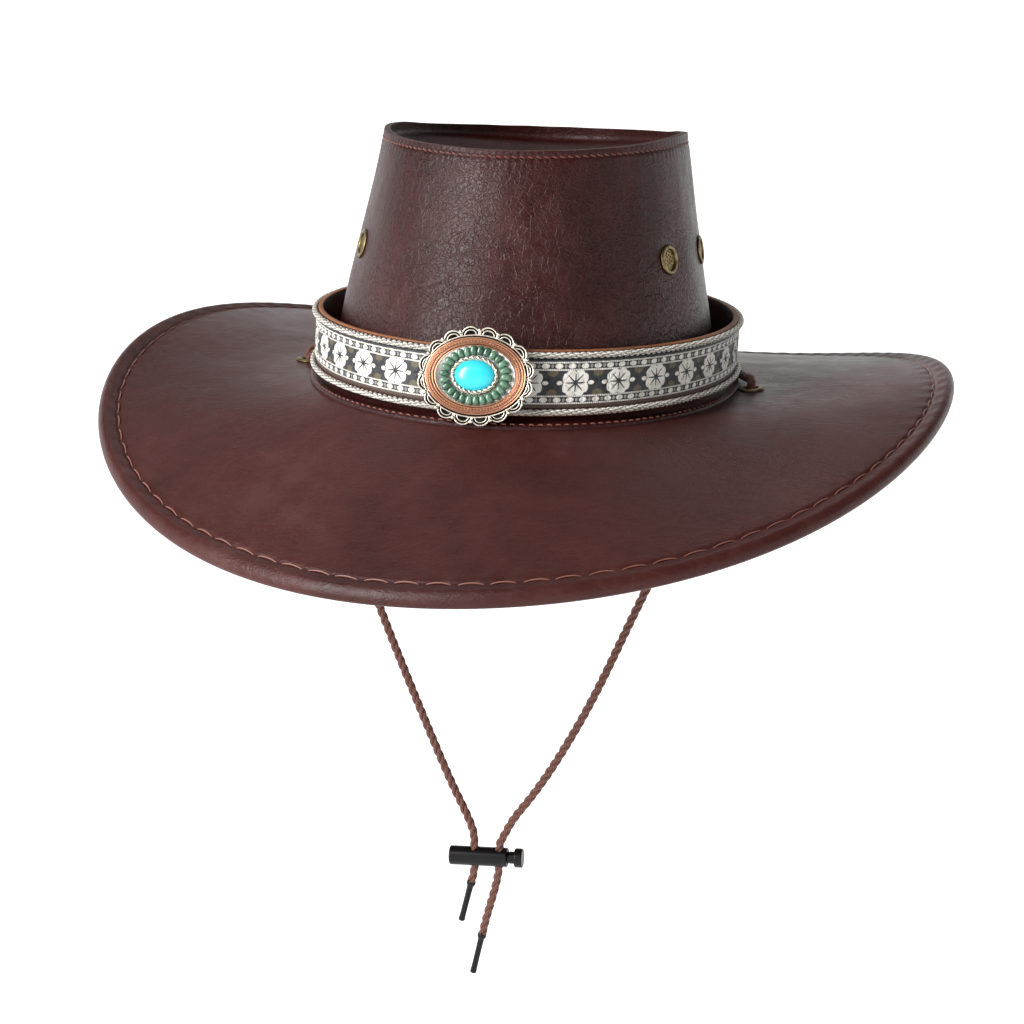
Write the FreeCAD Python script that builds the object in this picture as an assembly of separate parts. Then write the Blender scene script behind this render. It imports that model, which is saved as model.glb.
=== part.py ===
"""Leather cowboy hat with a woven hatband, an oval concho and a chin cord.

Millimetres, +Z up. The origin is the centre of the head opening, in the plane where the crown
is sewn to the brim. The front, with the concho, faces -Y, and the wearer's head enters along +Z.
Every ring of the hat is an oval, x = a cos(turn), y = b sin(turn), so turn 0 is the +X side
and a quarter turn is the back.
"""

import math
import os

import FreeCAD
import Part

V = FreeCAD.Vector

# Crown wall: half width and half depth of its outside, at the base and at the top seam.
BASE_A, BASE_B = 87.6, 111.3
TOP_A, TOP_B = 67.6, 80.7
CROWN_HEIGHT = 104.8
TOP_RISE = 0.4           # the top seam's wave: a little up all round,
TOP_SIDE_RISE = 1.9      # higher over the sides than at the front and the back,
TOP_LEFT_RISE = 0.9      # and highest over the wearer's left
RIDGE = 3.7              # the pinched seam stands this far above its stitches
CROWN_LEATHER = 1.4
TIP_LEATHER = 1.2
TIP_SINK = 8.5           # depth of the dished tip below the seam
LINING = 0.6
SWEATBAND = 2.0
SWEATBAND_TOP = 34.0

# Brim: the oval of the seam, the leather's width out from it, and its layers downwards.
SEAM_A, SEAM_B = 94.6, 120.0
BRIM_WIDTH = 97.8
FRONT_TRIM = 0.033       # the brim is narrower by this share at the front
BRIM_INSIDE = 8.0
LAYER_UPPER, LAYER_CORE, LAYER_LOWER = 1.2, 1.0, 1.2
ROLL_RADIUS, WIRE_RADIUS = 3.3, 1.0
FLANGE = 2.2
# Slope of the brim in degrees, up positive, as a sum of waves round the hat.
SLOPE_MEAN, SLOPE_SIDES, SLOPE_BACK = -9.4, 12.5, 11.8
SLOPE_THIRD, SLOPE_FOURTH, SLOPE_RIGHT, SLOPE_TWIST = 1.2, 0.6, 2.7, -3.8

# Hatband: a leather strap that leans with the crown in front and behind.
BAND_A, BAND_B = 93.4, 111.5
BAND_TOP, BAND_HEIGHT = 31.6, 25.7
BAND_LEAN = 0.29
BAND_TILT = 0.02
STRAP, RIBBON, BRAID_RADIUS, BRAID_INSET = 2.2, 0.6, 1.3, 1.8

# Vents in the crown: turn and height of each.
VENT_HEIGHT = 60.3
VENT_TURNS = {"front_right": -28.6, "rear_right": -2.3, "front_left": 208.6, "rear_left": 182.3}
VENT_HOLE, VENT_BARREL, VENT_FLANGE, VENT_PLATE = 5.0, 4.4, 6.5, 0.9

# Chin cord and its lock.
CORD_RADIUS = 2.1
CORD_X, CORD_Y = 103.0, -3.0
SWING_Z = -6.0
CORD_EYELET_HOLE, CORD_EYELET_BARREL, CORD_EYELET_FLANGE = 3.6, 3.0, 6.0
LOCK_CENTRE = V(-13.4, CORD_Y, -239.6)
LOCK_TILT = 4.0
LOCK_RADIUS, LOCK_LEFT, LOCK_RIGHT = 4.7, -14.4, 14.4
LOCK_BORE, LOCK_WALL, CORD_HOLE, SLOT_HALF = 3.2, 1.5, 2.7, 2.3
LOCK_ROUNDING = 0.7
PLUNGER_RADIUS, PLUNGER_INNER_END, HEAD_START, HEAD_END = 3.0, -5.6, 17.9, 21.9
PRESS = 3.0
SPRING_RADIUS, SPRING_TURNS = 2.4, 4
HOLE_OFFSETS = (-2.1, 10.1)
AGLET_RADIUS = 1.45

STATIONS = 48


def slope(turn):
    """Angle of the brim above the horizontal, in radians."""
    degrees = (SLOPE_MEAN + SLOPE_SIDES * math.cos(2 * turn) + SLOPE_BACK * math.sin(turn)
               + SLOPE_THIRD * math.sin(3 * turn) + SLOPE_FOURTH * math.cos(4 * turn)
               + SLOPE_RIGHT * math.cos(turn) + SLOPE_TWIST * math.sin(2 * turn))
    return math.radians(degrees)


def brim_point(turn, out, up):
    """Point of the brim at a distance out from the seam, raised by up. Inside the seam it is level."""
    normal = V(math.cos(turn) / SEAM_A, math.sin(turn) / SEAM_B, 0).normalize()
    seam = V(SEAM_A * math.cos(turn), SEAM_B * math.sin(turn), 0)
    angle = slope(turn) if out > 0 else 0.0
    if out > 0:
        out *= 1 - FRONT_TRIM * ((1 - math.sin(turn)) / 2) ** 3
    return seam + normal * (out * math.cos(angle)) + V(0, 0, out * math.sin(angle) + up)


def top_wave(turn):
    """Height of the top seam above its mean."""
    return TOP_RISE + TOP_SIDE_RISE * math.cos(2 * turn) + TOP_LEFT_RISE * math.cos(turn)


def wall_axes(z):
    """Half width and half depth of the outside of the crown wall at height z."""
    t = z / CROWN_HEIGHT
    return BASE_A + (TOP_A - BASE_A) * t, BASE_B + (TOP_B - BASE_B) * t


def wall(z, inset):
    """Curve function of the crown wall at height z, that far inside its outer face."""
    a, b = wall_axes(z)
    share = z / CROWN_HEIGHT
    return lambda turn: V((a - inset) * math.cos(turn), (b - inset) * math.sin(turn),
                          z + share * top_wave(turn))


def brim(out, up):
    """Curve function of the brim at a fixed distance out from the seam and a fixed height."""
    return lambda turn: brim_point(turn, out, up)


def band(up, outward):
    """Curve function of the hatband, up from its lower edge, outward from the strap's mid face."""
    lean = BAND_LEAN * (BAND_HEIGHT / 2 - up)

    def at(turn):
        x = (BAND_A + outward) * math.cos(turn)
        y = (BAND_B + lean + outward) * math.sin(turn)
        return V(x, y, BAND_TOP - BAND_HEIGHT + up + BAND_TILT * y)
    return at


def oval(a, b, z, wave):
    """Curve function of a plain oval, with a share of the top seam's wave."""
    return lambda turn: V(a * math.cos(turn), b * math.sin(turn), z + wave * top_wave(turn))


def closed_edge(curve):
    """Edge of the closed smooth curve through evenly spaced turns."""
    points = [curve(2 * math.pi * i / STATIONS) for i in range(STATIONS)]
    spline = Part.BSplineCurve()
    spline.interpolate(Points=points, PeriodicFlag=True)
    return spline.toShape()


def sewn(faces):
    """Closed solid from faces that share their edges, with its volume positive."""
    shell = Part.makeShell(faces)
    shell.sewShape()
    solid = Part.Solid(shell)
    if solid.Volume < 0:
        solid.reverse()
    return solid


def ring(curves):
    """Solid ring whose section is the closed polygon of these curve functions."""
    edges = [closed_edge(curve) for curve in curves]
    return sewn([Part.makeRuledSurface(edge, edges[(i + 1) % len(edges)])
                 for i, edge in enumerate(edges)])


def dish(curves):
    """Solid disc: ruled faces through the curves in turn, and flat ovals in the first and last."""
    edges = [closed_edge(curve) for curve in curves]
    faces = [Part.makeRuledSurface(a, b) for a, b in zip(edges, edges[1:])]
    faces += [Part.Face(Part.Wire([edge])) for edge in (edges[0], edges[-1])]
    return sewn(faces)


def tube_ring(centre, across, radius, corners):
    """Ring with a round section about a centre curve; across(turn) is its outward unit vector."""
    def corner(k):
        angle = 2 * math.pi * k / corners
        return lambda turn: (centre(turn) + across(turn) * (radius * math.cos(angle))
                             + V(0, 0, radius * math.sin(angle)))
    return ring([corner(k) for k in range(corners)])


def frame_at(origin, x_axis, z_axis):
    """Placement whose Z runs along z_axis and whose X is as near x_axis as it can be."""
    z_axis = V(z_axis).normalize()
    y_axis = z_axis.cross(V(x_axis)).normalize()
    rotation = FreeCAD.Rotation(y_axis.cross(z_axis), y_axis, z_axis, "ZXY")
    return FreeCAD.Placement(origin, rotation)


def placed(shape, placement):
    """The shape moved to the placement, as a copy."""
    moved = shape.copy()
    moved.Placement = placement.multiply(moved.Placement)
    return moved


def washer(inner, outer, low, high):
    """Flat ring about Z."""
    return (Part.makeCylinder(outer, high - low, V(0, 0, low))
            .cut(Part.makeCylinder(inner, high - low + 2, V(0, 0, low - 1))))


def oval_disc(a, b, low, high):
    """Oval plate about Z."""
    long_first = a >= b
    ellipse = Part.Ellipse(V(0, 0, low), max(a, b), min(a, b)).toShape()
    disc = Part.Face(Part.Wire([ellipse])).extrude(V(0, 0, high - low))
    if not long_first:
        disc.rotate(V(0, 0, 0), V(0, 0, 1), 90)
    return disc


def save(name, shape):
    """Writes one node and says what it is."""
    bad = [s for s in shape.Solids if not s.isValid() or s.Volume <= 0]
    print(f"{name}: {len(shape.Solids)} solids, {shape.Volume:.1f} mm3" + (" NOT VALID" if bad else ""))
    shape.exportStep(f"parts/{name}.step")


# ---- cords ----

def cord_tube(name, points, radius):
    """Round tube along straight runs joined by tangent arcs, each as large as its runs allow."""
    edges = []
    radii = []
    start = points[0]
    for before, here, after in zip(points, points[1:], points[2:]):
        to_before = (before - here).normalize()
        to_after = (after - here).normalize()
        half_turn = (math.pi - to_before.getAngle(to_after)) / 2
        reach = 0.45 * min((before - here).Length, (after - here).Length)
        bend = reach / math.tan(half_turn)
        radii.append(round(bend, 1))
        entry = here + to_before * reach
        leave = here + to_after * reach
        middle = (to_before + to_after).normalize()
        summit = here + middle * (bend / math.cos(half_turn) - bend)
        edges.append(Part.LineSegment(start, entry).toShape())
        edges.append(Part.Arc(entry, summit, leave).toShape())
        start = leave
    edges.append(Part.LineSegment(start, points[-1]).toShape())
    path = Part.Wire(edges)
    aim = (points[1] - points[0]).normalize()
    section = Part.Wire([Part.Circle(points[0], aim, radius).toShape()])
    tube = path.makePipeShell([section], True, False)
    expected = math.pi * radius ** 2 * path.Length
    print(f"{name}: length {path.Length:.1f}, bend radii {radii}, "
          f"volume over expected {tube.Volume / expected:.4f}")
    return tube


def in_hanging_plane(pairs):
    """Points of the cord from x and z, in the plane where it hangs."""
    return [V(x, CORD_Y, z) for x, z in pairs]


LEFT_UPPER = [(-103.0, -6.0), (-98.0, -29.0), (-84.0, -71.0), (-67.1, -115.7), (-46.9, -162.3),
              (-29.1, -201.6), (-20.3, -218.0), (-16.38, -227.0), (-15.93, -233.4)]
RIGHT_UPPER = [(103.0, -6.0), (92.5, -28.0), (72.5, -68.0), (54.7, -112.0), (38.8, -153.2),
               (23.2, -185.4), (12.0, -204.8), (2.9, -217.8), (-1.4, -227.2)]
LEFT_TAIL = [(-15.93, -233.4), (-15.2, -243.8), (-15.78, -249.0), (-16.8, -254.0)]
RIGHT_TAIL = [(-1.4, -227.2), (-3.78, -232.4), (-3.05, -242.8), (-3.9, -251.0), (-6.0, -261.0),
              (-8.5, -271.1), (-10.4, -281.4)]
LEFT_TIP = V(-21.0, CORD_Y, -274.6)
RIGHT_TIP = V(-14.2, CORD_Y, -302.1)
BACK_ROUTE = [V(-103.0, -3.0, -3.9), V(-103.0, -3.0, 1.9), V(-102.4, 0.6, 5.2), V(-100.2, 8.6, 4.1),
              V(-95.0, 22.8, 3.7), V(-89.0, 44.0, 3.7), V(-77.2, 70.2, 3.7), V(-59.6, 93.8, 3.7),
              V(-37.4, 110.9, 3.7), V(-12.7, 119.7, 3.7), V(12.7, 119.7, 3.7), V(37.4, 110.9, 3.7),
              V(59.6, 93.8, 3.7), V(77.2, 70.2, 3.7), V(89.0, 44.0, 3.7), V(95.0, 22.8, 3.7),
              V(100.2, 8.6, 4.1), V(102.4, 0.6, 5.6), V(103.0, -3.0, 2.4), V(103.0, -3.0, -3.9)]


# ---- crown ----

def vent_frame(turn_degrees):
    """Placement on the outside of the crown wall, Z outwards."""
    turn = math.radians(turn_degrees)
    here = wall(VENT_HEIGHT, 0)(turn)
    along = wall(VENT_HEIGHT, 0)(turn + 0.01) - here
    up = wall(VENT_HEIGHT + 1, 0)(turn) - here
    return frame_at(here, along, along.cross(up))


def crown_side():
    """Leather wall from its sewn flange on the brim to the pinched seam at the top."""
    top = CROWN_HEIGHT + RIDGE
    leather = CROWN_LEATHER
    body = ring([brim(FLANGE, leather), brim(0, leather), brim(-4.5, leather + 0.3), wall(5, 0),
                 wall(CROWN_HEIGHT - 6, 0), wall(top, 0), wall(top, leather),
                 wall(CROWN_HEIGHT - 6, leather), wall(6, leather), brim(-5.6, 0.1), brim(0, 0.02),
                 brim(FLANGE, 0.02)])
    return with_vent_holes(body)


def with_vent_holes(body):
    """The body with a round hole at each vent."""
    for turn in VENT_TURNS.values():
        drill = Part.makeCylinder(VENT_HOLE, 12, V(0, 0, -8))
        body = body.cut(placed(drill, vent_frame(turn)))
    return body


def crown_tip():
    """Oval top leather: its edge stands up against the wall and its middle is dished."""
    top = CROWN_HEIGHT + RIDGE
    seam_a, seam_b = wall_axes(CROWN_HEIGHT)
    rim = CROWN_LEATHER + 0.05
    thick = TIP_LEATHER

    def level(share, drop, wave, under):
        return oval((seam_a - rim) * share, (seam_b - rim) * share,
                    CROWN_HEIGHT - drop - under * thick, wave)
    outer = [level(0.25, TIP_SINK, 0, 0), level(0.55, TIP_SINK * 0.82, 0.35, 0),
             level(0.82, TIP_SINK * 0.45, 0.75, 0), wall(CROWN_HEIGHT - 0.5, rim + thick + 0.6)]
    under = [wall(CROWN_HEIGHT - 1.6, rim), level(0.82, TIP_SINK * 0.45, 0.75, 1),
             level(0.55, TIP_SINK * 0.82, 0.35, 1), level(0.25, TIP_SINK, 0, 1)]
    return dish(outer + [wall(top, rim + thick), wall(top, rim)] + under)


def crown_lining():
    """Cloth lining of the wall, from above the sweatband's foot to under the tip."""
    outer = CROWN_LEATHER + 0.1
    body = ring([wall(10, outer), wall(CROWN_HEIGHT - 9, outer),
                 wall(CROWN_HEIGHT - 9, outer + LINING), wall(10, outer + LINING)])
    return with_vent_holes(body)


def crown_lining_tip():
    """Cloth lining under the dished tip."""
    a, b = wall_axes(CROWN_HEIGHT - 9)
    inset = CROWN_LEATHER + LINING + 0.5
    low = CROWN_HEIGHT - TIP_SINK - TIP_LEATHER - 1.0
    curves = [oval(20, 24, low, 0), oval(a - inset, b - inset, low, 0.9),
              oval(a - inset, b - inset, low - LINING, 0.9), oval(20, 24, low - LINING, 0)]
    return dish(curves)


def sweatband():
    """Soft band inside the head opening."""
    outer = CROWN_LEATHER + LINING + 0.35
    inner = outer + SWEATBAND
    return ring([wall(-3.2, outer), wall(SWEATBAND_TOP, outer), wall(SWEATBAND_TOP, inner),
                 wall(-3.2, inner)])


# ---- brim ----

LAYER_EDGE = BRIM_WIDTH - 2 * ROLL_RADIUS
EYELET_TURN = math.asin(CORD_Y / (SEAM_B + CORD_X - SEAM_A))
EYELETS = {"right": EYELET_TURN, "left": math.pi - EYELET_TURN}


def eyelet_frame(side):
    """Placement on top of the brim at a cord eyelet, Z out of the leather."""
    turn = EYELETS[side]
    out = CORD_X - SEAM_A
    here = brim_point(turn, out, 0)
    outward = brim_point(turn, out + 1, 0) - here
    along = brim_point(turn + 0.01, out, 0) - here
    return frame_at(here, outward, outward.cross(along))


def brim_layer(top, bottom):
    """One sheet of the brim, level inside the seam and sloping outside it."""
    body = ring([brim(-BRIM_INSIDE, top), brim(0, top), brim(LAYER_EDGE, top),
                 brim(LAYER_EDGE, bottom), brim(0, bottom), brim(-BRIM_INSIDE, bottom)])
    for side in EYELETS:
        drill = Part.makeCylinder(CORD_EYELET_HOLE, 16, V(0, 0, -10))
        body = body.cut(placed(drill, eyelet_frame(side)))
    return body


def edge_section(turn):
    """Centre of the rolled edge and its outward unit vector."""
    layers = brim_point(turn, LAYER_EDGE, -(LAYER_UPPER + LAYER_CORE + LAYER_LOWER) / 2)
    outward = (brim_point(turn, BRIM_WIDTH, 0) - brim_point(turn, BRIM_WIDTH - 1, 0)).normalize()
    return layers + outward * ROLL_RADIUS, outward


def brim_edge_roll():
    """Leather rolled round the edge wire, open towards the brim by a narrow gap."""
    def corner(radius, angle):
        def at(turn):
            centre, outward = edge_section(turn)
            over = V(0, 0, 1)
            return centre + outward * (radius * math.cos(angle)) + over * (radius * math.sin(angle))
        return at
    steps = 10
    span = math.radians(172)
    angles = [-span + 2 * span * i / steps for i in range(steps + 1)]
    outside = [corner(ROLL_RADIUS, angle) for angle in angles]
    inside = [corner(WIRE_RADIUS + 0.25, angle) for angle in reversed(angles)]
    return ring(outside + inside)


def brim_edge_wire():
    """Steel wire inside the rolled edge."""
    return tube_ring(lambda turn: edge_section(turn)[0], lambda turn: edge_section(turn)[1],
                     WIRE_RADIUS, 8)


def cord_eyelet():
    """Brass eyelet of the brim, seen from above: a flange with a barrel through the leather."""
    depth = LAYER_UPPER + LAYER_CORE + LAYER_LOWER + 0.8
    return washer(CORD_EYELET_BARREL, CORD_EYELET_FLANGE, 0.2, 1.0).fuse(
        washer(CORD_EYELET_BARREL, CORD_EYELET_HOLE - 0.02, -depth, 0.25))


def cord_eyelet_washer():
    """Washer that the eyelet's barrel is set over, under the brim."""
    under = LAYER_UPPER + LAYER_CORE + LAYER_LOWER
    return washer(CORD_EYELET_HOLE, CORD_EYELET_FLANGE, -under - 0.8, -under - 0.2)


# ---- hatband and concho ----

def band_hole(body):
    """The body with the hole for the concho's post."""
    drill = Part.makeCylinder(POST_RADIUS + 0.02, 24, V(0, 0, -14))
    return body.cut(placed(drill, CONCHO))


def band_layer(inner, outer, low, high):
    """Strip of the hatband between two faces and two heights."""
    return ring([band(low, outer), band(high, outer), band(high, inner), band(low, inner)])


def braid(up):
    """Twisted cord along one edge of the hatband, as a plain round ring."""
    outward = STRAP / 2 + BRAID_RADIUS + 0.05
    return tube_ring(band(up, outward), lambda turn: V(math.cos(turn), math.sin(turn), 0),
                     BRAID_RADIUS, 8)


LEAN_ANGLE = math.atan(BAND_LEAN)
CONCHO_LEAN = math.radians(18)
CONCHO_UP = 13.8
CONCHO_FOOT = band(CONCHO_UP, STRAP / 2)(-math.pi / 2)
CONCHO = frame_at(CONCHO_FOOT, V(1, 0, 0), V(0, -math.cos(CONCHO_LEAN), math.sin(CONCHO_LEAN)))
POST_RADIUS, BOSS_RADIUS = 1.5, 5.0
PLATE_LOW, PLATE_HIGH = 5.0, 6.0
PLATE_A, PLATE_B = 24.0, 20.3
SCALLOPS, SCALLOP_RADIUS = 16, 3.5
RIM_A, RIM_B, RIM_HIGH = 20.5, 15.6, 7.6
DISH_A, DISH_B = 16.2, 12.0
BEADS, BEAD_ROW_A, BEAD_ROW_B, BEAD_RADIUS = 26, 12.5, 9.9, 1.3
STONE_A, STONE_B, STONE_HIGH = 8.2, 6.2, 4.0
BEZEL_WALL = 1.3


def even_on_oval(a, b, count, offset=0.0):
    """Angles of points evenly spaced along an oval's length."""
    fine = 3600
    lengths = [0.0]
    for i in range(fine):
        t = 2 * math.pi * (i + 0.5) / fine
        lengths.append(lengths[-1] + math.hypot(a * math.sin(t), b * math.cos(t)))
    angles = []
    for k in range(count):
        goal = lengths[-1] * ((k + offset) % count) / count
        angles.append(2 * math.pi * sum(1 for s in lengths if s < goal) / fine)
    return angles


def concho_plate():
    """Scalloped silver plate: an oval with a ring of round lobes, and a boss that stands it off the band."""
    plate = oval_disc(PLATE_A - SCALLOP_RADIUS, PLATE_B - SCALLOP_RADIUS, PLATE_LOW, PLATE_HIGH)
    a, b = PLATE_A - SCALLOP_RADIUS, PLATE_B - SCALLOP_RADIUS
    for t in even_on_oval(a, b, SCALLOPS, 0.5):
        lobe = Part.makeCylinder(SCALLOP_RADIUS, PLATE_HIGH - PLATE_LOW,
                                 V(a * math.cos(t), b * math.sin(t), PLATE_LOW))
        plate = plate.fuse(lobe)
    boss = Part.makeCylinder(BOSS_RADIUS, PLATE_LOW - RIBBON - 0.5, V(0, 0, RIBBON + 0.5))
    return plate.fuse(boss).removeSplitter().cut(concho_post())


def concho_granules():
    """Small silver balls set between the lobes."""
    a, b = PLATE_A - 2.6, PLATE_B - 2.6
    return Part.makeCompound([Part.makeSphere(0.8, V(a * math.cos(t), b * math.sin(t), PLATE_HIGH + 0.85))
                              for t in even_on_oval(a, b, SCALLOPS)])


def concho_rim():
    """Copper oval ring round the dish."""
    ring_solid = oval_disc(RIM_A, RIM_B, PLATE_HIGH + 0.02, RIM_HIGH).cut(
        oval_disc(DISH_A, DISH_B, PLATE_HIGH - 1, RIM_HIGH + 1))
    return ring_solid


def concho_dish():
    """Polished oval floor inside the copper ring."""
    return oval_disc(DISH_A - 0.05, DISH_B - 0.05, PLATE_HIGH + 0.02, PLATE_HIGH + 1.0)


def concho_beads():
    """Row of small green beads round the stone."""
    z = PLATE_HIGH + 1.05 + BEAD_RADIUS
    return Part.makeCompound([Part.makeSphere(BEAD_RADIUS, V(BEAD_ROW_A * math.cos(t),
                                                             BEAD_ROW_B * math.sin(t), z))
                              for t in even_on_oval(BEAD_ROW_A, BEAD_ROW_B, BEADS)])


def concho_bezel():
    """Silver cup wall that grips the stone."""
    low = PLATE_HIGH + 1.02
    return oval_disc(STONE_A + BEZEL_WALL, STONE_B + BEZEL_WALL, low, low + 1.9).cut(
        oval_disc(STONE_A, STONE_B, low - 1, low + 3))


def concho_stone():
    """Domed turquoise stone."""
    low = PLATE_HIGH + 1.02
    girdle = 1.2
    foot = oval_disc(STONE_A - 0.03, STONE_B - 0.03, low, low + girdle)
    ball = Part.makeSphere(1.0)
    upper = ball.common(Part.makeBox(4, 4, 2, V(-2, -2, 0)))
    matrix = FreeCAD.Matrix()
    matrix.scale(STONE_A - 0.03, STONE_B - 0.03, STONE_HIGH - girdle)
    dome = upper.transformGeometry(matrix)
    dome.translate(V(0, 0, low + girdle))
    return foot.fuse(dome).removeSplitter()


def concho_post():
    """Threaded post, drawn plain, from the plate's boss through the ribbon and the strap."""
    return Part.makeCylinder(POST_RADIUS, PLATE_LOW + STRAP + 0.1, V(0, 0, -STRAP - 0.1))


def concho_screw():
    """Low slotted screw head inside the strap."""
    head = Part.makeCylinder(3.6, 0.8, V(0, 0, -STRAP - 0.9))
    slot = Part.makeBox(8, 0.8, 0.45, V(-4, -0.4, -STRAP - 0.95))
    return head.cut(slot)


def lap_rivets(tool):
    """Two rivets that close the strap's lap at the back; tool gives their shafts alone."""
    rivets = []
    for up in (BAND_HEIGHT * 0.36, BAND_HEIGHT * 0.64):
        foot = band(up, STRAP / 2 + RIBBON)(math.pi / 2)
        outward = V(0, math.cos(LEAN_ANGLE), math.sin(LEAN_ANGLE))
        shaft = Part.makeCylinder(1.2, STRAP + RIBBON + 0.6, V(0, 0, -STRAP - RIBBON - 0.3))
        if not tool:
            shaft = shaft.fuse(Part.makeCylinder(2.6, 0.7, V(0, 0, 0.08)))
            shaft = shaft.fuse(Part.makeCylinder(2.4, 0.5, V(0, 0, -STRAP - RIBBON - 0.6)))
        rivets.append(placed(shaft, frame_at(foot, V(1, 0, 0), outward)))
    return Part.makeCompound(rivets)


# ---- cord lock ----

def lock_frame():
    """Placement of the lock, X along its barrel."""
    return FreeCAD.Placement(LOCK_CENTRE, FreeCAD.Rotation(V(0, 1, 0), -LOCK_TILT))


def along_x(radius, start, end):
    """Cylinder along X."""
    return Part.makeCylinder(radius, end - start, V(start, 0, 0), V(1, 0, 0))


def rounded_rod(radius, start, end, edge):
    """Cylinder along X with both its rims rounded."""
    rod = along_x(radius, start, end)
    return rod.makeFillet(edge, [rim for rim in rod.Edges if isinstance(rim.Curve, Part.Circle)])


def lock_barrel():
    """Barrel with two cross holes for the cord and a blind bore for the plunger."""
    barrel = rounded_rod(LOCK_RADIUS, LOCK_LEFT, LOCK_RIGHT, LOCK_ROUNDING)
    barrel = barrel.cut(along_x(LOCK_BORE, LOCK_LEFT + LOCK_WALL, LOCK_RIGHT + 1))
    for offset in HOLE_OFFSETS:
        barrel = barrel.cut(Part.makeCylinder(CORD_HOLE, 20, V(offset, 0, -10)))
    return placed(barrel, lock_frame())


def lock_plunger():
    """Plunger with a waisted neck, a round head, and slots that let the cord through when pressed."""
    shaft = along_x(PLUNGER_RADIUS, PLUNGER_INNER_END, HEAD_START)
    head = rounded_rod(LOCK_RADIUS, HEAD_START, HEAD_END, LOCK_ROUNDING)
    shaft = shaft.fuse(head).removeSplitter()
    for offset in HOLE_OFFSETS:
        slot = Part.makeBox(2 * SLOT_HALF + PRESS, 2 * SLOT_HALF, 20,
                            V(offset - SLOT_HALF, -SLOT_HALF, -10))
        shaft = shaft.cut(slot)
    return placed(shaft, lock_frame())


def lock_spring():
    """Compression spring between the barrel's blind end and the plunger."""
    start = LOCK_LEFT + LOCK_WALL + 0.1
    length = PLUNGER_INNER_END - start - 0.1
    wire = 0.35
    corners = 8
    steps = 80
    edges = []
    for k in range(corners):
        angle = 2 * math.pi * k / corners
        radius = SPRING_RADIUS + wire * math.cos(angle)
        lift = start + wire + wire * math.sin(angle)
        rise = (length - 2 * wire) / steps
        turns = [2 * math.pi * SPRING_TURNS * i / steps for i in range(steps + 1)]
        points = [V(lift + rise * i, radius * math.cos(turn), radius * math.sin(turn))
                  for i, turn in enumerate(turns)]
        spline = Part.BSplineCurve()
        spline.interpolate(Points=points)
        edges.append(spline.toShape())
    faces = [Part.makeRuledSurface(edge, edges[(k + 1) % corners]) for k, edge in enumerate(edges)]
    for end in (0, -1):
        loop = [edge.Vertexes[end].Point for edge in edges]
        faces.append(Part.Face(Part.makePolygon(loop + loop[:1])))
    return placed(sewn(faces), lock_frame())


def aglet(top, tip):
    """Hard sleeve on the end of the cord."""
    return Part.makeCylinder(AGLET_RADIUS, (tip - top).Length, top, tip - top)


def main():
    os.makedirs("parts", exist_ok=True)
    save("crown_side", crown_side())
    save("crown_tip", crown_tip())
    save("crown_lining", crown_lining())
    save("crown_lining_tip", crown_lining_tip())
    save("sweatband", sweatband())

    core_top = -LAYER_UPPER
    core_bottom = core_top - LAYER_CORE
    save("brim_upper", brim_layer(0, core_top))
    save("brim_core", brim_layer(core_top, core_bottom))
    save("brim_lower", brim_layer(core_bottom, core_bottom - LAYER_LOWER))
    save("brim_edge_roll", brim_edge_roll())
    save("brim_edge_wire", brim_edge_wire())

    for name, turn in VENT_TURNS.items():
        place = vent_frame(turn)
        flange = washer(VENT_BARREL, VENT_FLANGE, 0.15, VENT_PLATE)
        barrel = washer(VENT_BARREL, VENT_HOLE - 0.02, -CROWN_LEATHER - LINING - 0.9, 0.2)
        save(f"vent_eyelet_{name}", placed(flange.fuse(barrel), place))
        under = -CROWN_LEATHER - LINING - 0.45
        save(f"vent_washer_{name}", placed(washer(VENT_HOLE, VENT_FLANGE, under - 0.5, under), place))
        screen = Part.makeCylinder(VENT_BARREL - 0.02, 0.5, V(0, 0, -0.3))
        save(f"vent_screen_{name}", placed(screen, place))

    for side in EYELETS:
        save(f"cord_eyelet_{side}", placed(cord_eyelet(), eyelet_frame(side)))
        save(f"cord_eyelet_washer_{side}", placed(cord_eyelet_washer(), eyelet_frame(side)))

    half = STRAP / 2
    strap = band_hole(band_layer(-half, half, 0, BAND_HEIGHT)).cut(lap_rivets(True))
    save("hatband_strap", strap)
    edge = BRAID_INSET + BRAID_RADIUS + 0.1
    ribbon = band_layer(half + 0.02, half + RIBBON, edge, BAND_HEIGHT - edge)
    save("hatband_ribbon", band_hole(ribbon).cut(lap_rivets(True)))
    save("hatband_braid_lower", braid(BRAID_INSET))
    save("hatband_braid_upper", braid(BAND_HEIGHT - BRAID_INSET))
    save("hatband_rivets", lap_rivets(False))

    for name, shape in (("plate", concho_plate()), ("granules", concho_granules()),
                        ("rim", concho_rim()), ("dish", concho_dish()), ("beads", concho_beads()),
                        ("bezel", concho_bezel()), ("stone", concho_stone()),
                        ("post", concho_post()), ("screw", concho_screw())):
        save(f"concho_{name}", placed(shape, CONCHO))

    save("chin_cord_back", cord_tube("chin_cord_back", BACK_ROUTE, CORD_RADIUS))
    for side, upper, tail, tip in (("left", LEFT_UPPER, LEFT_TAIL, LEFT_TIP),
                                   ("right", RIGHT_UPPER, RIGHT_TAIL, RIGHT_TIP)):
        points = in_hanging_plane(upper)
        knuckle = Part.makeSphere(CORD_RADIUS, points[0])
        hanging = cord_tube(f"chin_cord_{side}", points, CORD_RADIUS).fuse(knuckle)
        save(f"chin_cord_{side}", hanging)
        tail_points = in_hanging_plane(tail)
        save(f"cord_tail_{side}", cord_tube(f"cord_tail_{side}", tail_points, CORD_RADIUS))
        save(f"aglet_{side}", aglet(tail_points[-1], tip))

    save("lock_barrel", lock_barrel())
    save("lock_plunger", lock_plunger())
    save("lock_spring", lock_spring())


main()
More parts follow.
